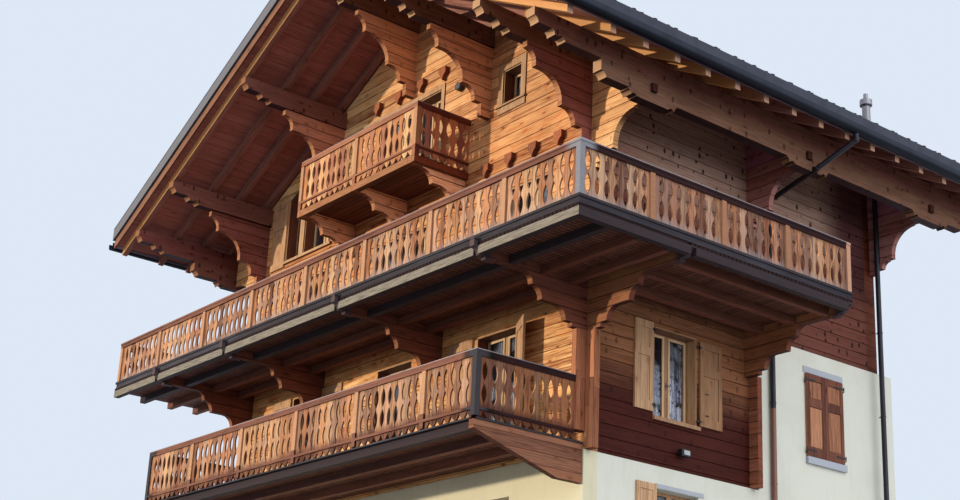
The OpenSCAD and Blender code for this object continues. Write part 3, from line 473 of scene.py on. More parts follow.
def sunny_boards(n, color, pos, normal, fine):
    """The roof boards of the right slope are golden at the front, most of all near the eave: partly their own
    colour, partly painted sunlight.
    """
    color = n.times(color, (1.7, 2.3, 2.0), n.step(pos[0], 0.3, 0.8) * n.step(pos[1], -5.0, -6.2))
    return n.times(color, (1.5, 1.5, 1.5), n.step(pos[0], 5.5, 6.3) * n.step(pos[1], -4.0, -6.2))


def reveal_shade(n, color, pos, normal, fine):
    """The reveals of the front windows are darker and redder: painted shade in the recesses."""
    return n.times(color, (0.5, 0.3, 0.28), (abs(pos[0]) < 5.2) * flanks(n, normal))


def stiles(n, color, pos, normal, fine):
    """The stiles and rails of the closed shutters are darker than their panels."""
    return n.times(color, (0.42, 0.34, 0.4), n.step(abs(pos[0]), 5.6, 5.602))


def gable_bracket_shade(n, color, pos, normal, fine):
    """The front faces of the gable brackets are a little darker; their side faces are darker and redder away
    from the middle: painted shade.
    """
    color = n.times(color, (0.76, 0.72, 0.74), n.step(normal[1], -0.2, -0.5))
    for x0, x1, factor in ((-1.6, -2.4, (0.55, 0.44, 0.5)), (-3.4, -4.4, (0.45, 0.36, 0.42)),
                           (2.6, 3.4, (0.42, 0.32, 0.5))):
        color = n.times(color, factor, flanks(n, normal) * n.step(pos[0], x0, x1))
    return color


def gable_flames_and_light(n, color, pos, normal, fine):
    """The gable is paler towards the top and at the upper left, and has orange flames in its grain; below the main
    balcony it is lighter, painted sunlight.
    """
    # the second tint is painted sunlight on the wall below the main balcony
    color = by_height((10.4, 8.9, (0.94, 0.82, 0.74)), (5.6, 5.3, (1.3, 1.5, 1.5)))(n, color, pos, normal, fine)
    flame = n.step(n.noise(n.vec(pos[0] * 1.1, pos[1], pos[2] * 3.4), 1.3, 4.0, 0.7, 1.6), 0.5, 0.64)
    color = n.times(color, (0.92, 0.64, 0.46), flame * 0.75)
    return n.times(color, (1.2, 1.4, 1.45), n.step(pos[0], -0.8, -2.2) * n.step(pos[2], 9.0, 9.8))


def left_leaf(n, color, pos, normal, fine):
    """The left shutter of the side window is newer."""
    return n.times(color, (1.7, 1.95, 2.1), n.step(pos[1], -2.1, -2.2))


BOARDS = [(212, 170, 130), (200, 142, 104), (184, 148, 122), (214, 164, 120), (180, 130, 100), (200, 158, 128),
          (206, 152, 110), (164, 124, 100)]
SMALL_BOARDS = [(224, 170, 122), (200, 140, 100), (232, 190, 140), (190, 134, 106), (214, 152, 104)]
# In these materials the tints of the faces towards X and towards the ground are painted shade, and painted light where
# a factor is above one.
M = {
    "gable": wood("gable_logs", rgb(234, 184, 130), rgb(132, 72, 44), index=LOG, lines=0.22, knots=0.9, vary=0.9,
                  stain=0.6, streaks=0.85, sides=(0.5, 0.38, 0.4), paint=gable_flames_and_light),
    "rear": wood("rear_logs", rgb(222, 166, 108), rgb(150, 90, 54), index=LOG, lines=0.5, knots=0.8, vary=0.8,
                 stain=0.5, streaks=0.5, sides=(0.2, 0.1, 0.12)),
    "side": wood("side_logs", rgb(208, 172, 154), rgb(152, 118, 103), index=LOG, lines=0.55, knots=0.4, spikes=0.95,
                 vary=0.3, streaks=0.3, paint=side_shade),
    "side_low": wood("low_side_logs", rgb(154, 104, 72), rgb(94, 56, 40), index=LOG, lines=0.35, knots=0.5,
                     spikes=0.5, vary=0.35, stain=0.4, streaks=0.25, paint=by_height((4.8, 3.7, (0.21, 0.085, 0.11)))),
    "ends": wood("log_ends", rgb(178, 114, 86), rgb(110, 64, 50), index=LOG, lines=0.6, knots=0.0, ends=True,
                 sides=(0.52, 0.42, 0.42), paint=shade_behind_rear_bracket),
    "carved": wood("carved_logs", rgb(226, 166, 118), rgb(150, 90, 62), index=LOG, lines=0.7, knots=0.8, spikes=0.3,
                   vary=0.35, stain=0.4, sides=(1.46, 1.66, 2.1), paint=gable_bracket_shade),
    "carved_side": wood("side_carved_logs", rgb(236, 176, 118), rgb(168, 104, 62), index=LOG, lines=0.7, knots=0.8,
                        spikes=0.3, vary=0.6, stain=0.35, streaks=0.4, paint=back_bracket_shade),
    "carved_dark": wood("old_carved_logs", rgb(146, 96, 78), rgb(80, 46, 40), index=LOG, lines=0.4, knots=0.8,
                        vary=0.35, stain=0.5, sides=(0.84, 0.7, 0.68), paint=old_heads),
    "purlin": wood("purlins", rgb(160, 122, 92), rgb(108, 78, 58), grain="y", knots=0.9, spikes=0.7, vary=0.3,
                   stain=0.4, sides=(0.84, 0.8, 0.96), paint=timber_shade_and_tints, under_shade=(0.16, 0.13, 0.26)),
    "rafter": wood("rafters", rgb(172, 124, 112), rgb(116, 78, 72), grain="slope", index=RAFTER_ROW, knots=0.5,
                   vary=0.4, paint=lighter_and_lit_rafters, under_shade=(0.8, 0.74, 0.76)),
    "soffit": wood("roof_boards", rgb(168, 107, 98), rgb(111, 66, 63), grain="y", index=ROOF_ROW, lines=0.35,
                   knots=0.3, vary=0.35, under_shade=None, paint=sunny_boards),
    "verge": wood("verge_board", rgb(154, 112, 88), rgb(94, 62, 48), grain="slope", knots=0.6, vary=0.3,
                  paint=eave_strip),
    "fascia": wood("balcony_fascia", rgb(178, 128, 90), rgb(116, 74, 52), grain="x", knots=0.6, vary=0.3,
                   sides=(0.5, 0.24, 0.26)),
    "deck": wood("deck_boards", rgb(112, 70, 57), rgb(66, 40, 34), knots=0.4, island=True, under_shade=None,
                 paint=deck_gap_shade),
    "beam": wood("old_beams", rgb(128, 82, 66), rgb(78, 48, 42), knots=0.5, vary=0.4, paint=old_beams,
                 under_shade=(0.85, 0.74, 0.74)),
    "edge": wood("old_edge", rgb(60, 56, 62), rgb(36, 34, 40), knots=0.2, vary=0.3, grey=0.35,
                 grey_color=(124, 128, 142), paint=ledge_line),
    "rail": wood("hand_rails", rgb(136, 92, 76), rgb(76, 48, 42), knots=0.4, vary=0.3, sides=(0.12, 0.08, 0.13),
                 paint=rail_marks),
    "rail_new": wood("upper_rails", rgb(176, 122, 94), rgb(108, 68, 54), knots=0.4, vary=0.3,
                     sides=(0.32, 0.2, 0.26), paint=rail_marks),
    "board": wood("railing_boards", None, None, grain="z", knots=0.5, grey=0.18, vary=0.8, island=True,
                  grey_color=(182, 176, 174), stain=0.2, palette=BOARDS, sides=(0.8, 0.72, 0.7),
                  paint=weathered_boards_and_side_shade),
    "board_new": wood("small_railing_boards", None, None, grain="z", knots=0.5, vary=0.6, island=True, stain=0.15,
                      palette=SMALL_BOARDS, sides=(0.88, 0.78, 0.95)),
    "frame": wood("window_wood", rgb(222, 194, 156), rgb(176, 140, 104), grain="z", knots=0.3, vary=0.3),
    "casing": wood("casing_wood", rgb(204, 168, 130), rgb(148, 110, 82), grain="z", knots=0.4, vary=0.3,
                   streaks=0.3, sides=(0.74, 0.68, 0.68), paint=reveal_shade),
    "post": wood("corner_boards", rgb(206, 142, 104), rgb(128, 76, 56), grain="z", knots=0.8, vary=0.6,
                 island=True, sides=(0.6, 0.55, 0.55)),
    "shutter": wood("shutter_wood", rgb(166, 126, 92), rgb(112, 76, 56), grain="z", knots=0.6, vary=0.4,
                    paint=left_leaf),
    "shutter_old": wood("old_shutter_wood", rgb(186, 132, 99), rgb(96, 55, 46), grain="z", knots=0.9, island=True,
                        stain=0.5, paint=stiles),
    "joist": wood("joist_ends", rgb(178, 112, 80), rgb(112, 64, 48), grain="y", knots=0.0, sides=(0.5, 0.4, 0.42)),
    "floor": wood("floor_boards", rgb(170, 128, 88), rgb(120, 84, 56), grain="y", index=FLOOR_ROW, lines=0.6),
    "cheek": wood("cheek_boards", rgb(144, 97, 73), rgb(82, 49, 39), index=CHEEK_ROW, lines=0.7, knots=0.6,
                  vary=0.6, stain=0.5),
    "plaster": plaster("painted_render", rgb(210, 210, 197), rgb(182, 181, 166)),
    # the front render is yellower than the rest: partly its own tint, partly the warm sunlight on that face painted in
    "plaster_front": plaster("front_render", rgb(209, 203, 174), rgb(182, 175, 146)),
    "lintel": plaster("pale_lintel", rgb(168, 172, 180), rgb(142, 146, 154)),
    "roofing": metal("roof_sheet", rgb(60, 63, 76), rgb(44, 46, 54), 0.55, 0.05, sheet_edge, 0.2),
    "gutter": metal("gutter_metal", rgb(38, 42, 55), rgb(24, 27, 36), 0.5, 0.05, gutter_shade, 0.15),
    "pipe": metal("pipe_metal", rgb(36, 34, 42), rgb(24, 23, 28), metallic=0.4, paint=pipe_foot),
    "flue": metal("flue_metal", rgb(150, 146, 150), rgb(110, 106, 108), 0.35, 0.8),
    "clasp": metal("clasp_metal", rgb(96, 98, 108), rgb(70, 72, 80)),
    "black": metal("black_metal", rgb(34, 32, 34), rgb(22, 20, 22), 0.45, 0.4),
    "white": metal("white_enamel", rgb(170, 173, 172), rgb(140, 143, 142), 0.3, 0.0),
    "glass": pane("window_pane"),
}


# Mesh tools. Points are given in the building's millimetres.


class Shape:
    def __init__(self):
        self.v, self.f = [], []

    def point(self, x, y, z):
        self.v.append((x / 1000, (y - SHIFT) / 1000, z / 1000))
        return len(self.v) - 1

    def ladder(self, rows, place, d0, d1):
        """A flat board: rows of (low, high, height) along its length, pushed from d0 to d1."""
        idx = []
        for lo, hi, h in rows:
            idx.append([self.point(*place(a, h, d)) for d in (d0, d1) for a in (lo, hi)])
        for p, q in zip(idx, idx[1:]):
            for i, j in ((0, 1), (3, 2), (2, 0), (1, 3)):
                self.f.append((p[i], p[j], q[j], q[i]))
        p, q = idx[0], idx[-1]
        self.f += [(p[2], p[3], p[1], p[0]), (q[0], q[1], q[3], q[2])]

    def box(self, x0, x1, y0, y1, z0, z1):
        self.ladder([(x0, x1, z0), (x0, x1, z1)], lambda a, h, d: (a, d, h), y0, y1)

    def wing(self, g, x0, x1, y0, y1, z0, z1):
        """A box on the right (g = 1) or mirrored to the left (g = -1)."""
        self.box(*sorted((g * x0, g * x1)), y0, y1, z0, z1)

    def prism(self, outline, place, d0, d1):
        k = len(outline)
        a = [self.point(*place(p, q, d0)) for p, q in outline]
        b = [self.point(*place(p, q, d1)) for p, q in outline]
        self.f += [tuple(a), tuple(reversed(b))]
        self.f += [(a[i], b[i], b[(i + 1) % k], a[(i + 1) % k]) for i in range(k)]

    def rod(self, x, y, z0, z1, radius, sides=12):
        """An upright round rod."""
        self.tube((x, y, z0), (x, y, z1), radius, sides)

    def tube(self, start, end, radius, sides=12):
        start, end = Vector(start), Vector(end)
        d = (end - start).normalized()
        u = d.cross(Vector((0.13, 0.37, 1.0))).normalized()
        w = d.cross(u)
        turns = [2 * math.pi * k / sides for k in range(sides)]
        r, s = ([self.point(*(p + radius * (math.cos(t) * u + math.sin(t) * w))) for t in turns] for p in (start, end))
        self.f += [(r[k], r[(k + 1) % sides], s[(k + 1) % sides], s[k]) for k in range(sides)]
        self.f += [tuple(reversed(r)), tuple(s)]


def front(a, h, d):
    """A place on a wall that faces the front or the rear: along it, its height and its depth."""
    return (a, d, h)


def side(a, h, d):
    return (d, a, h)


def new_object(name, shape, material):
    mesh = bpy.data.meshes.new(name)
    mesh.from_pydata(shape.v, [], shape.f)
    mesh.validate()
    obj = bpy.data.objects.new(name, mesh)
    bpy.context.scene.collection.objects.link(obj)
    mesh.materials.append(material)
    return obj


def piece(name, shape, material, replaces=(), bevel=0.0):
    obj = new_object(name, shape, M[material])
    bm = bmesh.new()
    bm.from_mesh(obj.data)
    bmesh.ops.recalc_face_normals(bm, faces=bm.faces)
    bm.to_mesh(obj.data)
    bm.free()
    if bevel:
        mod = obj.modifiers.new("edges", "BEVEL")
        mod.width, mod.segments, mod.limit_method, mod.angle_limit = bevel, 1, "ANGLE", math.radians(40)
    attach(obj, "root")
    if replaces:
        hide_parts(*replaces)


# CAD nodes that stay get their materials.

KEEP = {
    "base_walls_front": "plaster_front", "base_walls_sides": "plaster", "base_wall_rear": "plaster",
    "storey_floors": "floor", "middle_wall_front": "gable", "middle_walls_sides": "side_low",
    "gable_wall_front": "gable", "upper_walls_sides": "side", "gable_wall_rear": "rear", "corner_log_ends": "ends",
    "gable_brackets": "carved", "side_brackets": "carved_side", "roof_purlins": "purlin", "eave_timbers": "purlin",
    "rafters_right": "rafter", "rafters_left": "rafter", "roof_boarding_right": "soffit",
    "roof_boarding_left": "soffit", "roof_covering_right": "roofing", "roof_covering_left": "roofing",
    "verge_boards": "verge", "gutters": "gutter", "downpipes": "pipe", "flue": "flue",
    "main_balcony_brackets": "carved_dark", "main_balcony_beams": "beam", "main_balcony_edge": "edge",
    "main_balcony_railing": "rail", "lower_balcony_beams": "beam", "lower_balcony_cheeks": "cheek",
    "lower_balcony_railing": "rail", "upper_balcony_brackets": "carved", "upper_balcony_railing": "rail_new",
    "window_frames": "casing", "window_glass": "glass", "window_shutters": "shutter", "window_lintels": "lintel",
    "joist_heads": "joist", "wall_lamps": "black",
}
for node, key in KEEP.items():
    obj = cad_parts[node]
    obj.data.materials.clear()
    obj.data.materials.append(M[key])

# Sawn railing boards, one by one, with openings between them in the shape of an almond.

PITCH = 195
OVAL_H, OVAL_W = 330, 118
OVAL_R = (OVAL_H**2 + OVAL_W**2) / (4 * OVAL_W)
HALF_JOINT = 4.0
TAIL = 95  # height of the pointed tails
HOLE, HOLE_R = 70, 26  # round hole above each joint of the tails


def cut_depth(z, z_low, ovals, tails):
    """How far the edge of a board stands back from the middle of the joint at height z."""
    d = HALF_JOINT
    for c in ovals:
        if abs(z - c) < OVAL_H / 2:
            d = max(d, math.sqrt(OVAL_R**2 - (z - c) ** 2) - (OVAL_R - OVAL_W / 2))
    if tails:
        t = (z - z_low) / TAIL
        if t < 1:
            d = max(d, (PITCH / 2 - 10) * (1 - t))
        if abs(z - z_low - HOLE) < HOLE_R:
            d = max(d, math.sqrt(HOLE_R**2 - (z - z_low - HOLE) ** 2))
    return d


def heights(z_low, z_high, ovals, tails):
    zs = [z_low, z_high]
    for c in ovals:
        zs += [c - OVAL_H / 2 * math.cos(math.pi * k / 12) for k in range(13)]
    if tails:
        zs += [z_low + v for v in (22, 44, 48, 56, 64, 72, 80, 88, 96)]
    return sorted(zs)


def bay(shape, a0, a1, form, place, d0, d1):
    """The boards between two posts; form is (low, high, middles of the openings, whether the tails are cut)."""
    z_low, _, _, tails = form
    count = int((a1 - a0 - 200) // PITCH) + 1
    first = (a0 + a1 - (count - 1) * PITCH) / 2
    cuts = [first + i * PITCH for i in range(count)]
    zs = heights(*form)
    for i in range(count + 1):
        lift, push = rng.uniform(-4, 4) if tails else 0, rng.uniform(-6.0, 6.0)
        rows = []
        for z in zs:
            d = cut_depth(z, z_low, *form[2:])
            lo = a0 + 1 if i == 0 else cuts[i - 1] + d
            hi = a1 - 1 if i == count else cuts[i] - d
            rows.append((lo, hi, z + (lift if z == z_low else 0)))
        shape.ladder(rows, place, d0 + push, d1 + push)


# The main balcony reaches from MAIN_L at the left to MAIN_R, and at the right side back to MAIN_END. MAIN_D,
# LOWER_D and UPPER_D are the depths of the balconies, and UPPER is half the width of the upper one.
MAIN_R, MAIN_L, MAIN_D, MAIN_END = 7925, 7505, 2360, 3949
LOWER_D, UPPER_D, UPPER = 2277, 1285, 2048
POST = 100
MAIN_FORM = (5835, 6695, (6064, 6430), False)
LOWER_FORM = (2860, 3911, (3252, 3616), True)
UPPER_FORM = (8711, 9745, (9075, 9435), True)
LOWER_POSTS = [-3700, -1760, 200, 2150, 4100]
boards = Shape()
xs = [-MAIN_L + 20, -5650, *LOWER_POSTS, 6050, MAIN_R - 20 - POST]
ys = [-MAIN_D + 20, -870, 735, 2270, MAIN_END - POST]
for a, b in zip(xs, xs[1:]):
    bay(boards, a + POST, b, MAIN_FORM, front, -MAIN_D + 55, -MAIN_D + 83)
for a, b in zip(ys, ys[1:]):
    bay(boards, a + POST, b, MAIN_FORM, side, MAIN_R - 83, MAIN_R - 55)
bay(boards, -MAIN_D + 20 + POST, 0, MAIN_FORM, side, -MAIN_L + 55, -MAIN_L + 83)
piece("main_railing_boards", boards, "board", ["main_balcony_boards"])


def small_railing(name, w, depth, back, posts, form, material, node):
    s = Shape()
    x = [-w] + posts + [w - POST]
    for a, b in zip(x, x[1:]):
        bay(s, a + POST, b, form, front, -depth + 30, -depth + 58)
    for g in (-1, 1):
        bay(s, -depth + POST, back, form, side, g * (w - 30), g * (w - 58))
    piece(name, s, material, [node])


small_railing("lower_railing_boards", HALF, LOWER_D, -212, LOWER_POSTS, LOWER_FORM, "board", "lower_balcony_boards")
small_railing("upper_railing_boards", UPPER, UPPER_D, 0, [-50], UPPER_FORM, "board_new", "upper_balcony_boards")

# Deck boards with open joints, from the underside to the top.

MAIN_DECK, LOWER_DECK, UPPER_DECK = (5632, 5690), (2822, 2880), (8681, 8739)


def board_run(shape, a0, a1, levels, plan, width=80, gap=15):
    """Boards side by side; plan gives the outline of the one that reaches from a to b."""
    a = a0
    while a < a1 - 20:
        b = min(a + width, a1)
        shape.box(*plan(a, b), levels[0], levels[1] + rng.uniform(-1.5, 1.5))
        a = b + gap


deck = Shape()
for a0, a1 in ((-MAIN_L, HALF), (HALF, MAIN_R - 2)):
    board_run(deck, a0, a1, MAIN_DECK, lambda a, b: (a, b, -MAIN_D + 2, -2))
board_run(deck, 2, MAIN_END, MAIN_DECK, lambda a, b: (HALF + 2, MAIN_R - 4, a, b))
piece("main_deck_boards", deck, "deck", ["main_balcony_deck"])
deck = Shape()
board_run(deck, -HALF + 58, HALF - 58, LOWER_DECK, lambda a, b: (a, b, -LOWER_D + 60, -32))
piece("lower_deck_boards", deck, "deck", ["lower_balcony_deck"])
deck = Shape()
board_run(deck, -UPPER_D + 105, -2, UPPER_DECK, lambda a, b: (-UPPER + 101, UPPER - 101, a, b), 114, 8)
piece("upper_deck_boards", deck, "deck", ["upper_balcony_deck"])
beams = Shape()
BEAM_LOW, BEAM_TOP = 8540, 8680
notches = [-UPPER, -UPPER + 100, -UPPER + 215, -57.5, 57.5, UPPER - 215, UPPER - 100, UPPER]
for a, b in zip(notches[0::2], notches[1::2]):
    beams.box(a + (a > -UPPER), b - (b < UPPER), -UPPER_D, -UPPER_D + 140, BEAM_LOW, BEAM_TOP)
for g in (-1, 1):
    beams.wing(g, UPPER - 99, UPPER - 1, -UPPER_D + 141, -1, BEAM_LOW + 1, BEAM_TOP - 1)
piece("upper_deck_beams", beams, "fascia", ["upper_balcony_deck"], bevel=0.004)

# Boards that cover the log ends at the front corners.


def casing_run(z0, z1, make):
    z = z0
    while z < z1 - 60:
        top = min(z1, z + rng.uniform(700, 1400))
        make(z + 2, top - 2)
        z = top


corner = Shape()
ENDS = 211  # length of the log ends
FOOT, INNER_FOOT, HEAD = 2745, 3040, 4755  # of the boards; those beside the lower balcony start higher
for g in (-1, 1):
    lo = min(g * (HALF + 2), g * (HALF + ENDS))
    for k in (0, 1):
        x, y = lo + 105 * k, -ENDS + 100 * k
        casing_run(FOOT, HEAD, lambda a, b: corner.box(x + 1, x + 103, -8, -0.5, a, b))
        casing_run(INNER_FOOT, HEAD, lambda a, b: corner.wing(g, HALF + 0.5, HALF + 8, y, y + 98, a, b))
    casing_run(FOOT, HEAD, lambda a, b: corner.wing(g, HALF + ENDS + 1.5, HALF + ENDS + 9, -7, 113, a, b))
    casing_run(INNER_FOOT, HEAD, lambda a, b: corner.wing(g, HALF - 1, HALF - 114, -ENDS - 9, -ENDS - 1.5, a, b))
piece("corner_boards", corner, "post", bevel=0.003)

# Sashes in front of the window frames. An opening is (low, high, bottom, top) on its wall.


def ring(shape, outer, inner, place, d0, d1):
    """A frame of four mitred bars between two rectangles (low, high, bottom, top)."""
    def corners(r, d):
        return [shape.point(*place(a, h, d)) for a, h in ((r[0], r[2]), (r[1], r[2]), (r[1], r[3]), (r[0], r[3]))]

    o0, o1, i0, i1 = corners(outer, d0), corners(outer, d1), corners(inner, d0), corners(inner, d1)
    for k in range(4):
        j = (k + 1) % 4
        shape.f += [(o0[k], o0[j], i0[j], i0[k]), (o1[j], o1[k], i1[k], i1[j])]
        shape.f += [(o0[j], o0[k], o1[k], o1[j]), (i0[k], i0[j], i1[j], i1[k])]


def grown(r, d):
    return (r[0] - d, r[1] + d, r[2] - d, r[3] + d)


def leaves(h, bar=60):
    """The panes of an opening, with a bar of the frame round each."""
    wide = h[1] - h[0]
    count = 4 if wide > 1500 else 2 if wide > 700 else 1
    step = wide / count
    return [(h[0] + bar + i * step, h[0] - bar + (i + 1) * step, h[2] + bar, h[3] - bar) for i in range(count)]


def sashes(openings, place, face, way):
    """face is the plane of the frames, way the direction into the house."""
    for h in openings:
        parts = leaves(h)
        for r in parts:
            ring(sash, grown(r, 14), grown(r, -34), place, face - way * 18, face - way * 1)
            ring(sash, grown(r, -1), grown(r, -24), place, face - way * 1, face + way * 24)
        if len(parts) == 1:
            continue
        mid, z = (h[0] + h[1]) / 2, h[2] + 0.42 * (h[3] - h[2])
        for lo, hi, z0, z1, d0, d1 in HANDLE:
            rows = [(mid + lo, mid + hi, z + z0), (mid + lo, mid + hi, z + z1)]
            handles.ladder(rows, place, face - way * d0, face - way * d1)


FRONT = [(-3720, -2574, 2880, 5250), (-600, 568, 2880, 5250), (2574, 3720, 2880, 5250), (-3950, -2700, 5700, 7950),
         (-1000, 1000, 5700, 7950), (3100, 4500, 5700, 7950), (-1035, 1035, 8760, 10820), (3020, 3550, 9755, 10480),
         (-3850, -2760, 8560, 9850)]
SIDE_WINDOW = (1547, 2605, 3600, 5200)
RECESS = 238  # of the frames behind the walls' faces
HANDLE = [(-9, 9, -65, 65, 24, 18.5), (-7, 7, -5, 11, 48, 24.5), (-7, 105, -4, 10, 60, 48.5)]  # plate, spindle, lever
sash, handles = Shape(), Shape()
sashes(FRONT, front, RECESS, 1)
for g in (-1, 1):
    sashes([SIDE_WINDOW], side, g * (HALF - RECESS), -g)
piece("window_sashes", sash, "frame", bevel=0.003)
piece("window_handles", handles, "clasp", bevel=0.002)

# Shutters: panelled faces, strap hinges and pins of the closed ones at the rear; hinges and slots of the open ones.

old, iron = Shape(), Shape()
CLOSED, OPEN = 5603, HALF + 41  # outer faces of the closed and of the open shutters
LEAVES = ((5460, 5990), (5994, 6525))  # of the closed shutters
LOW, TALL = 3600, 1585
cuts = [LOW + 1, LOW + 0.11 * TALL, LOW + 0.6 * TALL, LOW + 0.7 * TALL, LOW + 0.92 * TALL, LOW + TALL - 1]
for g in (-1, 1):
    for a, b in LEAVES:
        for lo, hi in ((a + 1, a + 84), (b - 84, b - 1)):
            old.wing(g, CLOSED + 0.5, CLOSED + 7, lo, hi, cuts[0], cuts[5])
        for k in (0, 2, 4):
            old.wing(g, CLOSED + 0.5, CLOSED + 7, a + 86, b - 86, cuts[k], cuts[k + 1])
        for k in (1, 3):
            old.wing(g, CLOSED - 9, CLOSED - 4, a + 100, b - 100, cuts[k] + 14, cuts[k + 1] - 14)
    for y, way in ((LEAVES[0][0], 1), (LEAVES[1][1], -1)):
        for z in (LOW + 115, LOW + TALL - 120):
            iron.wing(g, CLOSED + 7.5, CLOSED + 13, *sorted((y - way * 12, y + way * 250)), z - 17, z + 17)
            iron.rod(g * (CLOSED + 16), y - way * 16, z - 42, z + 42, 11)
            iron.wing(g, CLOSED - 38, CLOSED + 16, *sorted((y - way * 8, y - way * 24)), z - 60, z - 44)
    for y0, y1, levels in ((1515, 1547, (3780, 5120)), (2605, 2665, (3700, 5050))):
        for z in levels:
            iron.wing(g, OPEN, OPEN + 5, y0 - 26, y1 + 26, z - 20, z + 20)
            iron.rod(g * (OPEN + 5), (y0 + y1) / 2, z - 45, z + 45, 10)
    for z in (3836, 4224):
        iron.wing(g, OPEN, OPEN + 2, 2790, 2880, z - 9, z + 9)
piece("rear_shutter_faces", old, "shutter_old", bevel=0.003)
piece("shutter_irons", iron, "black", bevel=0.002)

# Gutter brackets and seams, sheet ribs, snow stops, ridge caps and pipe clamps.

GUT_X, GUT_Z = MAIN_R - 100, 9070
FRONT_Y, REAR_Y = -2755, 10455
SHEET = 590.5  # just above the roof sheet, measured from the rafters


def roof_z(x, over):
    return RAFTER - SLOPE * (abs(x) - HALF) + over


def slope_bar(shape, x0, x1, y0, y1, over0, over1):
    """A bar that lies along each slope between two distances from the ridge."""
    outline = [(x, roof_z(x, over)) for x, over in ((x0, over0), (x1, over0), (x1, over1), (x0, over1))]
    for g in (-1, 1):
        shape.prism(outline, lambda a, h, d: (g * a, d, h), y0, y1)


def arc(r, t0, t1, count=10):
    turns = [math.radians(t0 + (t1 - t0) * k / count) for k in range(count + 1)]
    return [(r * math.cos(t), r * math.sin(t)) for t in turns]


clasp, ribs, strips = Shape(), Shape(), Shape()
band = [(min(GUT_X + a, MAIN_R - 0.5), GUT_Z + h) for a, h in arc(99.9, -170, -8) + arc(101.5, -8, -170)]
for turn, y in enumerate(range(FRONT_Y + 180, REAR_Y - 60, 721)):
    for g in (-1, 1):
        clasp.prism(band, lambda a, h, d: (g * a, d, h), y, y + (22 if turn % 4 else 60))
        clasp.wing(g, GUT_X - 96, GUT_X + 96, y, y + 22, GUT_Z + 60.5, GUT_Z + 64)
for y in range(FRONT_Y + 60, REAR_Y, 600):
    slope_bar(ribs, 60, 7700, y, y + 22, SHEET, SHEET + 21.5)
for y in range(FRONT_Y + 320, REAR_Y, 480):
    slope_bar(clasp, 7560, 7610, y, y + 40, SHEET, SHEET + 49.5)
slope_bar(strips, 70, 240, FRONT_Y - 19, REAR_Y + 19, SHEET + 22, SHEET + 31.5)
piece("gutter_brackets", clasp, "gutter")
piece("roof_ribs", ribs, "roofing")
piece("ridge_caps", strips, "roofing")
PIPES = ((5630, 4500, (1200, 2900, 4400, 5950, 7600)), (5762, 7530, (1200, 3000, 4700, 6400, 7900)))
clamps = Shape()
for g in (-1, 1):
    for x, y, levels in PIPES:
        for z in levels:
            clamps.rod(g * x, y, z - 17, z + 17, 56, 18)
            clamps.wing(g, x - 100, x - 50, y - 7, y + 7, z - 7, z + 7)
piece("pipe_clamps", clamps, "pipe")

# Ledges under the board tails of the lower balcony.

ledge = Shape()
LEDGE = (2821, 2850)
for g in (-1, 1):
    ledge.wing(g, HALF - 58, HALF + 20, -LOWER_D - 20, -32, *LEDGE)
ledge.box(-HALF - 20, HALF + 20, -LOWER_D - 20, -LOWER_D + 27, *LEDGE)
piece("lower_ledge", ledge, "edge", bevel=0.003)

# Light panels of the floodlights and the glass of the gable lamp.

lamp = Shape()
for g in (-1, 1):
    lamp.wing(g, HALF + 150.5, HALF + 156, 2150, 2290, 3016, 3094)
piece("lamp_panels", lamp, "white")
lamp = Shape()
lamp.tube((1690, -110.5, 10620), (1690, -116, 10620), 62, 24)
piece("lamp_glass", lamp, "clasp")


# Camera, stage and light.


def place_camera():
    """The camera that was fitted to the photograph, of 960 x 500 pixels."""
    width, height, focal, middle_x, middle_y = 960, 500, 1528.93, 481.536, 295.299
    cam = bpy.data.cameras.new("camera")
    obj = bpy.data.objects.new("camera", cam)
    bpy.context.scene.collection.objects.link(obj)
    yaw, pitch, roll = math.radians(-52.299), math.radians(18.778), math.radians(2.740)
    forward = Vector((math.sin(yaw) * math.cos(pitch), math.cos(yaw) * math.cos(pitch), math.sin(pitch)))
    level = Vector((math.cos(yaw), -math.sin(yaw), 0))
    upright = level.cross(forward)
    right = level * math.cos(roll) + upright * math.sin(roll)
    up = -level * math.sin(roll) + upright * math.cos(roll)
    m = Matrix((right, up, -forward)).transposed().to_4x4()
    m.translation = Vector((23.5952, -16.2013 - SHIFT / 1000, -2.9424))
    obj.matrix_world = m
    cam.sensor_width = 36
    cam.lens = focal * cam.sensor_width / width
    cam.shift_x = (width / 2 - middle_x) / width
    cam.shift_y = (middle_y - height / 2) / width
    cam.clip_end = 500
    bpy.context.scene.camera = obj


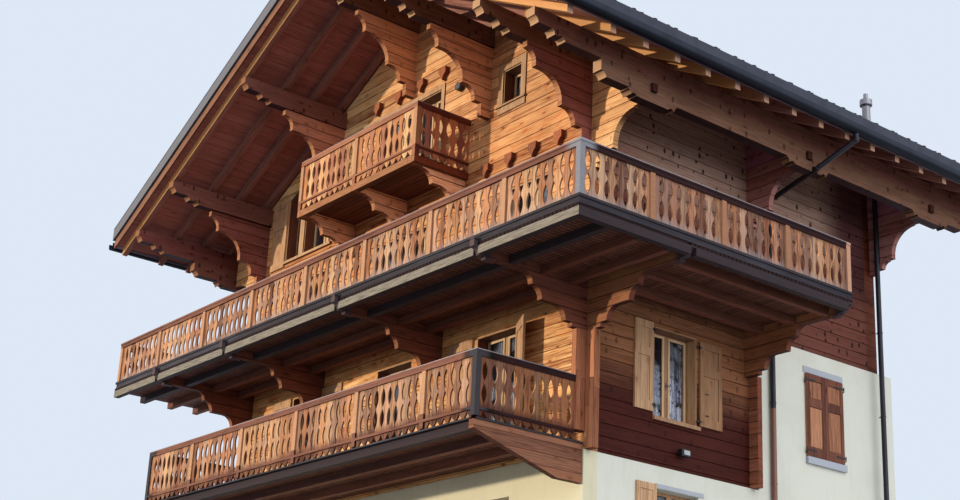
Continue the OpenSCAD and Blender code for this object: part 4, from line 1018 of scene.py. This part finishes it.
def make_floor():
    s = Shape()
    radius, sides = 11800, 64
    for t in (2 * math.pi * k / sides for k in range(sides)):
        s.point(radius * math.cos(t), radius * math.sin(t) + SHIFT, -2)
    s.f.append(tuple(range(sides)))
    n = Net("pale_floor")
    color = n.mix(n.noise(n.coord, 3.0) * 0.1, rgb(176, 178, 180), rgb(166, 168, 172))
    new_object("floor", s, n.finish(color, 0.9))


def make_light():
    world = bpy.data.worlds.new("world")
    bpy.context.scene.world = world
    world.use_nodes = True
    t = Tree(world.node_tree)
    # the sky is brighter above than below
    sky = t.tree.nodes["Background"]
    height = t.add("ShaderNodeSeparateXYZ", _0=t.add("ShaderNodeTexCoord").outputs["Generated"]).outputs[2]
    t.put(sky.inputs[0], (0.92, 0.95, 1.0, 1))
    t.put(sky.inputs[1], t.add("ShaderNodeMapRange", _0=height, _1=-0.12, _2=0.1, _3=0.2, _4=1.2).outputs[0])
    # the camera, reflections and glass see a plain pale background instead
    seen = t.add("ShaderNodeBackground", _0=rgb(222, 232, 246), _1=1.0)
    ray = t.add("ShaderNodeLightPath").outputs
    direct = t.either(ray["Is Camera Ray"], t.either(ray["Is Glossy Ray"], ray["Is Transmission Ray"]))
    mix = t.add("ShaderNodeMixShader", _0=direct, _1=sky.outputs[0], _2=seen.outputs[0])
    t.put(t.tree.nodes["World Output"].inputs[0], mix.outputs[0])
    for name, energy, angle, color, az, el in (("sun", 2.95, 2, (1.0, 0.85, 0.66), -26, 5),
                                               ("side_light", 1.4, 70, (0.92, 0.95, 1.0), 96, 18)):
        light = bpy.data.objects.new(name, bpy.data.lights.new(name, "SUN"))
        light.data.energy, light.data.angle, light.data.color = energy, math.radians(angle), color
        az, el = math.radians(az), math.radians(el)
        d = Vector((math.sin(az) * math.cos(el), -math.cos(az) * math.cos(el), math.sin(el)))
        light.rotation_euler = d.to_track_quat("Z", "Y").to_euler()
        bpy.context.scene.collection.objects.link(light)


place_camera()
make_floor()
make_light()
bpy.context.scene.view_settings.view_transform = "Standard"
